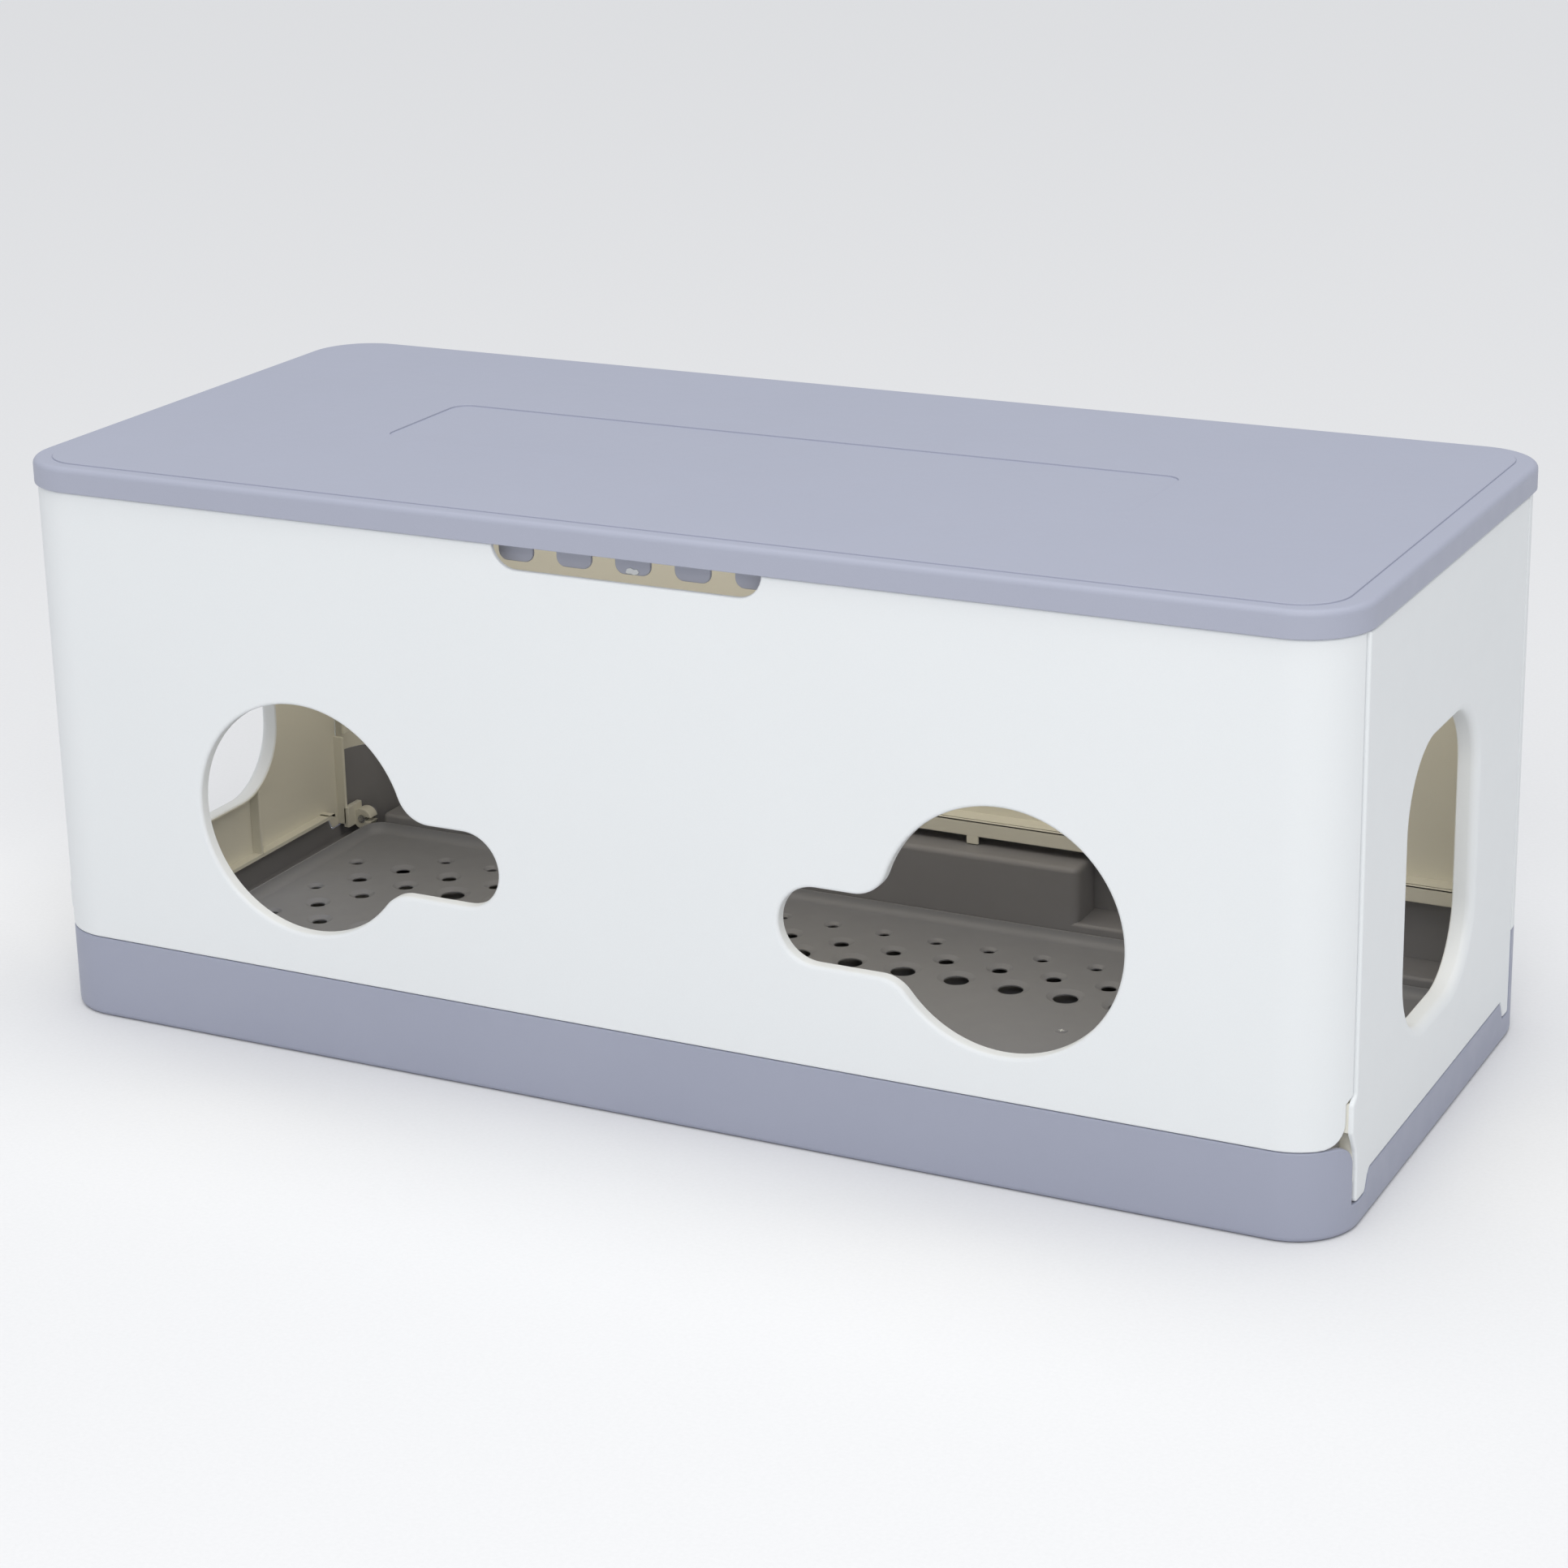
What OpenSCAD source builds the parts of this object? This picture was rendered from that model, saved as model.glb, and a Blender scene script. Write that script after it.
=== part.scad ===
// Foldable hooded cat litter box: a tray base with a lift-out sieve, four hinged wall panels
// and a flip-up lid. Millimetres; X is the width, -Y the front, +Z up. The origin is the
// centre of the lid's outline, on the floor.

/* [Overall] */
// Width over the lid
lid_w = 900; // [880:1:930]
// Depth over the lid
lid_d = 395.6; // [390:0.1:410]
// Height from the floor to the lid's top
total_h = 378.6; // [370:0.1:400]
// Moulded wall thickness
wall = 3; // [2.5:0.1:3.5]

/* [Body outline] */
// Lid overhang beyond the body at each side
side_overhang = 1; // [0.5:0.1:2]
// Lid overhang beyond the body at the front
front_overhang = 3; // [2.5:0.1:4]
// Lid overhang beyond the body at the back
rear_overhang = 6.9; // [6.5:0.1:8]
// Corner radius of the body
body_r = 41; // [38:0.5:44]

/* [Base tray] */
// Height of the tray's front wall
front_wall_h = 56.2; // [52:0.1:60]
// Height of the tray's side walls
side_wall_h = 29.4; // [28:0.1:30]
// Height of the tray's rear wall
rear_wall_h = 73; // [72:0.1:75]
// Height of the raised ledge in the middle of the back
ledge_h = 67; // [60:0.1:67.2]
// Height of the low ledge under the two rear pockets
pocket_h = 28; // [20:0.5:34]
// Half the width of the raised ledge
ledge_half_w = 147; // [120:1:170]
// Depth of the ledge from the outside of the back
ledge_d = 35.9; // [30:0.1:38]

/* [Sieve plate] */
// Height of the sieve's walking surface
sieve_top = 15; // [13:0.1:17]
// Hole pitch across the width
hole_pitch_x = 39.3; // [38:0.1:40]
// Spacing of the hole rows
hole_pitch_y = 27.2; // [25:0.1:28]

/* [Lid] */
// Height of the lid's skirt and edge
lid_edge_h = 16.5; // [15:0.1:18]
// Corner radius of the lid
lid_r = 42.5; // [40:0.5:45]
// Distance between neighbouring hook tabs behind the finger slot
tab_pitch = 40.2; // [36:0.1:42]
// Width of one hook tab behind the finger slot
tab_w = 24; // [20:0.5:28]

/* [Openings] */
// Radius of the round part of each front cut-out
window_r = 77; // [70:0.5:80]
// Distance of the round part's centre from the middle
window_x = 241; // [235:1:250]
// Height of the round part's centre
window_z = 162; // [155:1:170]
// Half the width of the finger slot
slot_half_w = 91; // [88:1:95]
// Length of a side entrance along the depth
entrance_l = 139; // [120:1:145]
// Height of a side entrance
entrance_h = 180; // [160:1:190]
// Corner radius of a side entrance
entrance_r = 47; // [35:1:55]

/* [Hinges] */
// Distance of a side panel's hinge axis from the middle
side_hinge_x = 431; // [430.5:0.1:431.5]
// Height of a side panel's hinge axis
side_hinge_z = 21; // [20.5:0.1:22]
// Radius of a side hinge pin
side_pin_r = 3; // [2.5:0.1:3.2]
// Radius of a lid hinge pin
lid_pin_r = 1.6; // [1.4:0.05:1.8]
// Radial clearance of a turning pin
run_gap = 0.05; // [0.02:0.01:0.1]
// Distance between the hinges along the long panels
hinge_pitch = 300; // [260:1:320]

/* [Hidden] */
$fn = 64;

grey = [0.66, 0.67, 0.74];
white = [0.93, 0.94, 0.95];
steel = [0.72, 0.73, 0.75];
eps = 0.01;

// Body outline
half_w = lid_w / 2 - side_overhang;
front_y = -lid_d / 2 + front_overhang;
rear_y = lid_d / 2 - rear_overhang;
body_d = rear_y - front_y;
body_cy = (rear_y + front_y) / 2;
front_corner_y = front_y + body_r;
rear_corner_y = rear_y - body_r;
rim_z = total_h - 0.8 - lid_edge_h;
panel_top = rim_z - 0.3;

// Seams between the panels, seen from the side
front_seam_y = front_corner_y - 11.7;
rear_seam_y = rear_corner_y - 0.4;
low_seam_y = front_seam_y - 5.5;
step_z = 85;
foot_z = 17.3;
notch_z = 16.5;

// Return flanges along the panels' edges
flange_t = 2.5;
flange_depth = 7;
side_flange_depth = 8;
tunnel_depth = 11;
flange_in_y = front_y + wall + flange_depth;

// Ledge at the back of the tray
ledge_face_y = rear_y - ledge_d;
low_ledge_half_w = 412;

// Sieve outline
sieve_half_w = 420;
sieve_front_y = front_y + 13.8;
sieve_rear_y = ledge_face_y - 0.5;
sieve_t = 3;
sieve_rim_z = sieve_top + 7;
first_row_y = ledge_face_y - 38;
rows = 11;
columns = 20;
step_hole_r = [4, 5.2, 8.5];
step_sink_r = [6.3, 9, 12.75];

// Side hinges: where each lug stands along the depth
lug_r = 8;
lug_l = 10;
cheek_r = 5;
cheek_l = 5.1;
lug_gap = 0.4;
front_lug_y = front_corner_y - 6.2;
rear_lug_y = rear_corner_y + 5.1;

// Lid hinge
lid_hinge_y = rear_y + 3.1;
lid_hinge_z = rim_z + 2;
lid_ring_r = 3.2;
lid_lug_l = 20;
lid_cheek_l = 12;
lid_gap = 2;

// Long panels' fold hinges, behind the tray's walls
fold_pin_r = 2;
fold_ring_r = 4;
fold_lug_l = 16;
fold_cheek_l = 6;
fold_pin_l = fold_lug_l + 2 * fold_cheek_l + 1;
front_fold_y = front_y + wall + fold_ring_r + 0.5;
front_fold_z = front_wall_h - 6.2;
rear_fold_y = rear_y - wall - fold_ring_r - 0.5;
rear_fold_z = rear_wall_h - 7;

// ---------- shared shapes ----------

// Rounded rectangle, centred
module round_rect(w, d, r) {
    square([w - 2 * r, d], center = true);
    square([w, d - 2 * r], center = true);
    for (sx = [-1, 1], sy = [-1, 1])
        translate([sx * (w / 2 - r), sy * (d / 2 - r)]) circle(r);
}

// A wall section, drawn with x outward and y up, carried round a rounded rectangle
module carried_round(w, d, r) {
    for (k = [0:3]) {
        run = k % 2 == 0 ? d - 2 * r : w - 2 * r;
        out = k % 2 == 0 ? w / 2 : d / 2;
        rotate(90 * k) {
            translate([out, run / 2, 0]) rotate([90, 0, 0]) linear_extrude(run) children();
            translate([out - r, run / 2, 0]) rotate_extrude(angle = 90) translate([r, 0]) children();
        }
    }
}

// The body's outline as a solid between two heights, set in by inset
module body_block(z0, z1, inset = 0) {
    translate([0, body_cy, z0])
        linear_extrude(z1 - z0) round_rect(2 * (half_w - inset), body_d - 2 * inset, body_r - inset);
}

module body_wall(z0, z1) {
    difference() {
        body_block(z0, z1);
        body_block(z0 - 1, z1 + 1, wall);
    }
}

// A flat shape drawn in (y, z), extruded across x
module across_x(x0, x1) {
    translate([x0, 0, 0]) rotate([90, 0, 90]) linear_extrude(x1 - x0) children();
}

// A flat shape drawn in (x, z), extruded along y
module along_y(y0, y1) {
    translate([0, y1, 0]) rotate([90, 0, 0]) linear_extrude(y1 - y0) children();
}

module box(x0, x1, y0, y1, z0, z1) {
    translate([x0, y0, z0]) cube([x1 - x0, y1 - y0, z1 - z0]);
}

module pin_along_x(x, y, z, r, l) {
    translate([x - l / 2, y, z]) rotate([0, 90, 0]) cylinder(r = r, h = l);
}

module pin_along_y(x, y0, y1, z, r) {
    translate([x, y1, z]) rotate([90, 0, 0]) cylinder(r = r, h = y1 - y0);
}

// ---------- base tray ----------

// Everything above the tray's rim line, seen from the side: front corner, feet notches, rear corner
module above_rim() {
    polygon([
        [-lid_d, front_wall_h], [front_seam_y + 1.5, front_wall_h],
        [front_seam_y + 1.5, notch_z], [front_seam_y + 22.5, notch_z],
        [front_seam_y + 26, side_wall_h - 3], [front_seam_y + 29, side_wall_h],
        [rear_seam_y - 18.5, side_wall_h], [rear_seam_y - 12.5, notch_z],
        [rear_seam_y, notch_z], [rear_seam_y, total_h], [-lid_d, total_h]
    ]);
    // Round the end of the front wall
    difference() {
        translate([front_seam_y - 12.5, front_wall_h - 14]) square([14 + eps, 14 + eps]);
        translate([front_seam_y - 12.5, front_wall_h - 14]) circle(14);
    }
}

module tray_section() {
    translate([-wall, 4]) square([wall, rear_wall_h - 4]);
    translate([-4, 4]) circle(4);
    translate([-14, 0]) square([10, wall]);
}

// Ears that hold the side panels' pins: on both sides of the front lug, behind the rear one
module side_cheeks(side) {
    for (y0 = [front_lug_y - cheek_l - lug_gap, front_lug_y + lug_l + lug_gap,
            rear_lug_y + lug_l + lug_gap])
        along_y(y0, y0 + cheek_l) {
            translate([side * side_hinge_x, side_hinge_z]) circle(cheek_r);
            translate([side * side_hinge_x - cheek_r, wall - eps])
                square([2 * cheek_r, side_hinge_z - wall]);
        }
}

// Two cheeks that hold a fold pin against a long wall
module fold_cheeks(x, y, z, wall_y) {
    y0 = min(wall_y, y);
    for (s = [-1, 1])
        across_x(x + s * (fold_lug_l / 2 + 0.5 + fold_cheek_l / 2) - fold_cheek_l / 2,
                 x + s * (fold_lug_l / 2 + 0.5 + fold_cheek_l / 2) + fold_cheek_l / 2) {
            translate([y, z]) circle(fold_ring_r);
            translate([y0, z - fold_ring_r]) square([abs(wall_y - y), 2 * fold_ring_r]);
        }
}

module rear_ledge() {
    back_y = rear_y - wall + eps;
    box(-ledge_half_w, ledge_half_w, ledge_face_y, back_y, eps, ledge_h);
    box(-low_ledge_half_w, low_ledge_half_w, ledge_face_y, back_y, eps, pocket_h);
}

// The ledges are hollow, open to the floor
module ledge_hollows() {
    y0 = ledge_face_y + wall;
    y1 = rear_y - 8;
    box(-ledge_half_w + wall, ledge_half_w - wall, y0, y1, -1, ledge_h - wall);
    for (s = [0, 1]) mirror([s, 0, 0])
        box(ledge_half_w, low_ledge_half_w - wall, y0, y1, -1, pocket_h - wall);
}

module base_tray() {
    color(grey) difference() {
        union() {
            difference() {
                translate([0, body_cy, 0]) carried_round(2 * half_w, body_d, body_r) tray_section();
                across_x(-lid_w, lid_w) above_rim();
            }
            body_block(0, wall, 13);
            rear_ledge();
            side_cheeks(-1);
            side_cheeks(1);
            for (k = [-1:1]) {
                fold_cheeks(k * hinge_pitch, front_fold_y, front_fold_z, front_y + wall);
                if (k != 0) fold_cheeks(k * hinge_pitch, rear_fold_y, rear_fold_z, rear_y - wall);
            }
        }
        ledge_hollows();
        for (s = [-1, 1], y = [front_lug_y, rear_lug_y])
            pin_along_y(s * side_hinge_x, y - cheek_l - 1, y + lug_l + cheek_l + 1,
                side_hinge_z, side_pin_r);
        for (k = [-1:1]) {
            pin_along_x(k * hinge_pitch, front_fold_y, front_fold_z, fold_pin_r, fold_pin_l + 2);
            if (k != 0) pin_along_x(k * hinge_pitch, rear_fold_y, rear_fold_z, fold_pin_r, fold_pin_l + 2);
        }
    }
}

// ---------- sieve plate ----------

// How many rows or columns a lattice place is from the edge of the pattern
function ring(i, j) = min(columns - abs(i), j, rows - 1 - j);
function on_corner(i, j) = abs(i) == columns - 1 && (j == 0 || j == rows - 1);
function has_hole(i, j) =
    (i + j) % 2 != 0 && !on_corner(i, j) && (ring(i, j) < 3 || (abs(i) == 16 && j % 2 == 1));
// The holes grow away from the edge, in three sizes
function size_step(i, j) = min(floor((columns - abs(i) + 2) / 3), j, rows - 1 - j, 2);

module sieve_plate() {
    cy = (sieve_front_y + sieve_rear_y) / 2;
    d = sieve_rear_y - sieve_front_y;
    color(grey) difference() {
        union() {
            translate([0, cy, wall]) linear_extrude(sieve_rim_z - wall) difference() {
                round_rect(2 * sieve_half_w, d, 14);
                round_rect(2 * sieve_half_w - 4, d - 4, 12);
            }
            translate([0, cy, sieve_top - sieve_t]) linear_extrude(sieve_t)
                round_rect(2 * sieve_half_w - 2, d - 2, 13);
            // Small bosses in the plain middle
            for (s = [-1, 1]) translate([s * 196.5, first_row_y - 4 * hole_pitch_y, sieve_top - eps])
                cylinder(r = 4, h = 0.4 + eps);
        }
        for (i = [-columns:columns], j = [0:rows - 1])
            if (has_hole(i, j)) {
                r = step_hole_r[size_step(i, j)];
                sink = step_sink_r[size_step(i, j)];
                translate([i * hole_pitch_x / 2, first_row_y - j * hole_pitch_y, 0]) {
                    translate([0, 0, sieve_top - sieve_t - 1]) cylinder(r = r, h = sieve_t + 2);
                    translate([0, 0, sieve_top - 2]) cylinder(r1 = r, r2 = sink, h = 2 + eps);
                }
            }
    }
}

// ---------- front panel ----------

// Front cut-out, grown outward by grow: a disc and a round-ended tail, joined by neck fillets
// that bite a hair into both
module window_shape(grow = 0) {
    neck_r = 23 - grow;
    bite = 0.03;
    disc_r = window_r + grow;
    tail_half = 24.8 + grow;
    tail_z = window_z - 14.9;
    tail_x = window_x - 119.2;
    neck_z = [for (s = [-1, 1]) tail_z + s * (tail_half + neck_r - bite)];
    neck_x = [for (z = neck_z) window_x - sqrt(pow(disc_r + neck_r - bite, 2) - pow(z - window_z, 2))];
    difference() {
        union() {
            translate([window_x, window_z]) circle(disc_r);
            translate([tail_x, tail_z]) circle(tail_half);
            translate([tail_x, tail_z - tail_half]) square([window_x - tail_x - 30, 2 * tail_half]);
            for (k = [0, 1])
                polygon([
                    [neck_x[k], tail_z], [neck_x[k], neck_z[k]],
                    [(neck_x[k] + window_x) / 2, (neck_z[k] + window_z) / 2], [window_x - 40, tail_z]
                ]);
        }
        for (k = [0, 1]) translate([neck_x[k], neck_z[k]]) circle(neck_r);
    }
}

// Finger slot in the top edge
module slot_shape() {
    floor_z = panel_top - 15.4;
    r = 16;
    translate([r - slot_half_w, floor_z]) square([2 * (slot_half_w - r), 30]);
    translate([-slot_half_w, floor_z + r]) square([2 * slot_half_w, 30 - r]);
    for (s = [-1, 1]) translate([s * (slot_half_w - r), floor_z + r]) circle(r);
}

// Side view of the front panel's wrapped ends
module front_panel_side() {
    low_r = 15;
    low_z = front_wall_h + 0.4;
    translate([-lid_d, step_z]) square([lid_d + front_seam_y, total_h - step_z]);
    translate([-lid_d, 0]) square([lid_d + low_seam_y - low_r, total_h]);
    translate([-lid_d, low_z + low_r]) square([lid_d + low_seam_y, total_h - low_z - low_r]);
    translate([low_seam_y - low_r, low_z + low_r]) circle(low_r);
}

module fold_lug(x, y, z, foot_y, foot_z) {
    across_x(x - fold_lug_l / 2, x + fold_lug_l / 2) difference() {
        union() {
            translate([y, z]) circle(fold_ring_r);
            translate([min(y - fold_ring_r, foot_y), z])
                square([2 * fold_ring_r + max(0, y - fold_ring_r - foot_y), foot_z - z]);
        }
        translate([y, z]) circle(fold_pin_r + run_gap);
    }
}

module front_panel() {
    low_z = front_wall_h + 0.4;
    color(white) difference() {
        union() {
            intersection() {
                body_wall(low_z, panel_top);
                across_x(-lid_w, lid_w) front_panel_side();
            }
            // Return flanges along the top and bottom edges
            for (s = [-1, 1])
                box(s > 0 ? slot_half_w - 5 : -400, s > 0 ? 400 : 5 - slot_half_w,
                    front_y + 1, flange_in_y, panel_top - flange_t, panel_top);
            box(-400, 400, front_y + 1, flange_in_y, low_z, low_z + flange_t);
            // Rolled rims round the openings
            along_y(front_y + 1, front_y + 9)
                for (s = [0, 1]) mirror([s, 0]) window_shape(flange_t);
            for (k = [-1:1])
                fold_lug(k * hinge_pitch, front_fold_y, front_fold_z,
                    front_fold_y - fold_ring_r, low_z + 1);
        }
        along_y(front_y - 1, front_y + 20) {
            for (s = [0, 1]) mirror([s, 0]) window_shape();
            slot_shape();
        }
    }
}

// ---------- rear panel ----------

module rear_panel() {
    low_z = rear_wall_h + 0.3;
    shelf_y = rear_y - 18.9;
    color(white) difference() {
        union() {
            intersection() {
                body_wall(low_z, panel_top);
                box(-lid_w, lid_w, rear_seam_y, lid_d, low_z, panel_top);
            }
            // Return flange along the top edge
            box(-400, 400, rear_y - wall - flange_depth, rear_y - wall + eps,
                panel_top - flange_t, panel_top);
            // Boxed lower edge with its front lip
            box(-405, 405, shelf_y, rear_y - wall + eps, low_z + 9.5, low_z + 12);
            box(-405, 405, shelf_y, shelf_y + flange_t, low_z, low_z + 12);
            // Small locating tabs under the lip
            for (s = [-1, 1]) translate([s * 61.5, 0, 0])
                box(-4.5, 4.5, shelf_y, shelf_y + flange_t, low_z - 5.8, low_z + eps);
            // Lugs of the lid hinges
            for (k = [-1:1]) across_x(k * hinge_pitch - lid_lug_l / 2, k * hinge_pitch + lid_lug_l / 2) {
                translate([lid_hinge_y, lid_hinge_z]) circle(lid_ring_r);
                translate([rear_y - wall, panel_top - 6]) square([wall, 6 + lid_hinge_z - panel_top]);
                translate([rear_y - wall, lid_hinge_z - 1.5]) square([lid_hinge_y - rear_y + wall, 4.7]);
            }
            // Lugs of the fold hinges
            for (k = [-1, 1])
                across_x(k * hinge_pitch - fold_lug_l / 2, k * hinge_pitch + fold_lug_l / 2) {
                    translate([rear_fold_y, rear_fold_z]) circle(fold_ring_r);
                    translate([rear_fold_y - fold_ring_r, rear_fold_z])
                        square([2 * fold_ring_r, low_z + 9.5 - rear_fold_z + eps]);
                }
        }
        for (k = [-1:1])
            pin_along_x(k * hinge_pitch, lid_hinge_y, lid_hinge_z, lid_pin_r, lid_lug_l + 2);
        for (k = [-1, 1])
            pin_along_x(k * hinge_pitch, rear_fold_y, rear_fold_z, fold_pin_r + run_gap, fold_lug_l + 2);
    }
}

// ---------- side panels ----------

// Outline of a side panel's skin, drawn in (y, z)
module side_outline() {
    front = front_seam_y + 1;
    rear = rear_seam_y - 1;
    polygon([
        [front, panel_top], [rear, panel_top], [rear, foot_z], [rear_seam_y - 11.5, foot_z],
        [rear_seam_y - 18, side_wall_h + 0.4], [front_seam_y + 28, side_wall_h + 0.4],
        [front_seam_y + 24.5, side_wall_h - 3], [front_seam_y + 20.5, foot_z],
        [front_seam_y + 4.5, foot_z], [front_seam_y + 4.5, 38], [front_seam_y + 3, 50],
        [front_seam_y - 1, 58], [low_seam_y + 0.8, 64], [low_seam_y + 0.8, step_z - 4],
        [front, step_z - 0.4]
    ]);
}

module entrance_shape(grow = 0) {
    translate([-10.5, 170]) round_rect(entrance_l + 2 * grow, entrance_h + 2 * grow, entrance_r + grow);
}

// One side panel on the +X side; mirrored for the other
module side_panel() {
    skin_x = half_w - wall;
    flange_x = skin_x - side_flange_depth;
    front = front_seam_y + 1;
    rear = rear_seam_y - 1;
    low = side_wall_h + 0.4;
    color(white) difference() {
        union() {
            across_x(skin_x, half_w) side_outline();
            // Return flanges round the edge
            box(flange_x, skin_x + eps, front, rear, panel_top - flange_t, panel_top);
            box(flange_x, skin_x + eps, front_seam_y + 20, rear_seam_y - 12, low, low + flange_t);
            box(flange_x, skin_x + eps, front + 2, front + 2 + flange_t, low, panel_top);
            box(flange_x, skin_x + eps, low_seam_y + 1, low_seam_y + 1 + flange_t, 64, step_z - 4);
            box(flange_x, skin_x + eps, rear - flange_t, rear, foot_z, panel_top);
            // Lips that stop behind the front and rear panels
            box(flange_x - flange_t, flange_x + eps, front_seam_y - 6, front + 2 + flange_t,
                step_z + 5, 340);
            box(flange_x - flange_t, flange_x + eps, rear - flange_t, ledge_face_y - 0.5,
                step_z + 5, 340);
            // Tunnel of the entrance
            across_x(skin_x - tunnel_depth, skin_x + eps) entrance_shape(flange_t);
            // Ribs under the entrance
            for (y = [-57, 37])
                box(flange_x, skin_x + eps, y - flange_t / 2, y + flange_t / 2, low, 80);
            // Front lug and its arm
            along_y(front_lug_y, front_lug_y + lug_l) {
                translate([side_hinge_x, side_hinge_z]) circle(lug_r);
                translate([side_hinge_x, side_hinge_z - 3]) square([skin_x - side_hinge_x, 14]);
            }
            // Rear lug, carried on an arm behind the panel's edge
            along_y(rear_lug_y, rear_lug_y + lug_l)
                translate([side_hinge_x, side_hinge_z]) circle(lug_r);
            box(side_hinge_x + cheek_r + 0.4, 441, rear - flange_t, rear_lug_y + lug_l,
                side_hinge_z - 5, side_hinge_z + 11);
        }
        across_x(half_w - 30, half_w + 1) entrance_shape();
        for (y = [front_lug_y, rear_lug_y])
            pin_along_y(side_hinge_x, y - 1, y + lug_l + 1, side_hinge_z, side_pin_r + run_gap);
        // Clip-on mouths of the lugs
        for (y = [front_lug_y, rear_lug_y])
            box(side_hinge_x - lug_r - 1, side_hinge_x, y - 1, y + lug_l + 1,
                side_hinge_z - 1.6, side_hinge_z + 1.6);
    }
}

module right_side_panel() {
    side_panel();
}

module left_side_panel() {
    mirror([1, 0, 0]) side_panel();
}

// ---------- lid ----------

module lid_section() {
    translate([-wall, 0]) square([wall, lid_edge_h - wall]);
    translate([-wall, lid_edge_h - wall]) circle(wall);
    translate([-16, lid_edge_h - wall]) square([16 - wall, wall]);
}

module hook_tab(x) {
    tab_r = 6;
    low = panel_top - 13;
    along_y(flange_in_y + 1.2, flange_in_y + 3.7) translate([x, 0]) {
        translate([-tab_w / 2, low + tab_r]) square([tab_w, rim_z + lid_edge_h - wall - low - tab_r + eps]);
        translate([-tab_w / 2 + tab_r, low]) square([tab_w - 2 * tab_r, tab_r + eps]);
        for (s = [-1, 1]) translate([s * (tab_w / 2 - tab_r), low + tab_r]) circle(tab_r);
    }
}

module lid() {
    plate_z = rim_z + lid_edge_h - wall;
    color(grey) difference() {
        union() {
            difference() {
                union() {
                    translate([0, 0, rim_z]) carried_round(lid_w, lid_d, lid_r) lid_section();
                    translate([0, 0, plate_z]) linear_extrude(wall)
                        round_rect(lid_w - 30, lid_d - 30, lid_r - 15);
                    translate([0, 0, plate_z + wall - eps]) linear_extrude(0.8 + eps)
                        round_rect(lid_w - 29, lid_d - 20, 30);
                }
                // Gaps in the skirt for the rear panel's hinge lugs
                for (k = [-1:1])
                    box(k * hinge_pitch - lid_lug_l / 2 - lid_gap,
                        k * hinge_pitch + lid_lug_l / 2 + lid_gap,
                        lid_d / 2 - wall - 1, lid_d / 2 + 1, rim_z - 1, rim_z + 7);
            }
            // Hinge cheeks
            for (k = [-1:1], s = [-1, 1])
                translate([k * hinge_pitch + s * (lid_lug_l + 2 * lid_gap + lid_cheek_l) / 2, 0, 0])
                    across_x(-lid_cheek_l / 2, lid_cheek_l / 2) {
                        translate([lid_hinge_y, lid_hinge_z]) circle(lid_ring_r);
                        translate([lid_hinge_y - lid_ring_r, lid_hinge_z])
                            square([lid_d / 2 - 1 - lid_hinge_y + lid_ring_r, plate_z - lid_hinge_z + eps]);
                    }
            // Stiffening ribs under the plate
            for (y = [-110, 0, 110]) box(-400, 400, y - 1, y + 1, plate_z - 6, plate_z + eps);
            for (k = [-2:2]) box(k * 150 - 1, k * 150 + 1, -160, 160, plate_z - 6, plate_z + eps);
            for (k = [-2:2]) hook_tab(k * tab_pitch);
        }
        // Shallow panel in the top
        translate([0, 0, total_h - 1]) linear_extrude(2) round_rect(520, 96, 12);
        for (k = [-1:1])
            pin_along_x(k * hinge_pitch, lid_hinge_y, lid_hinge_z, lid_pin_r + run_gap,
                        lid_lug_l + 2 * lid_gap + 2 * lid_cheek_l + 1);
    }
}

// ---------- hinge pins ----------

// Pin of a side panel's lug, reaching out before it by reach
module side_pin(side, lug_y, reach) {
    color(steel) pin_along_y(side * side_hinge_x, lug_y - reach, lug_y + lug_l + cheek_l + lug_gap,
                             side_hinge_z, side_pin_r);
}

module front_panel_pin(k) {
    color(steel) pin_along_x(k * hinge_pitch, front_fold_y, front_fold_z, fold_pin_r, fold_pin_l);
}

module rear_panel_pin(k) {
    color(steel) pin_along_x(k * hinge_pitch, rear_fold_y, rear_fold_z, fold_pin_r, fold_pin_l);
}

module lid_pin(k) {
    color(steel) pin_along_x(k * hinge_pitch, lid_hinge_y, lid_hinge_z, lid_pin_r,
                             lid_lug_l + 2 * lid_gap + 2 * lid_cheek_l);
}

base_tray();
sieve_plate();
front_panel();
rear_panel();
left_side_panel();
right_side_panel();
lid();
side_pin(-1, front_lug_y, cheek_l + lug_gap);  // left_front_side_pin
side_pin(-1, rear_lug_y, lug_gap);  // left_rear_side_pin
side_pin(1, front_lug_y, cheek_l + lug_gap);  // right_front_side_pin
side_pin(1, rear_lug_y, lug_gap);  // right_rear_side_pin
front_panel_pin(-1);  // front_panel_pin_left
front_panel_pin(0);  // front_panel_pin_middle
front_panel_pin(1);  // front_panel_pin_right
rear_panel_pin(-1);  // rear_panel_pin_left
rear_panel_pin(1);  // rear_panel_pin_right
lid_pin(-1);  // lid_pin_left
lid_pin(0);  // lid_pin_middle
lid_pin(1);  // lid_pin_right
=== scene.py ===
# Looks of the foldable hooded cat litter box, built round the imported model.
# Lengths are in millimetres while a piece is drawn, and metres once it is an object.
import math

import bmesh
import bpy
from mathutils import Matrix, Vector
from mathutils.geometry import delaunay_2d_cdt


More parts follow.
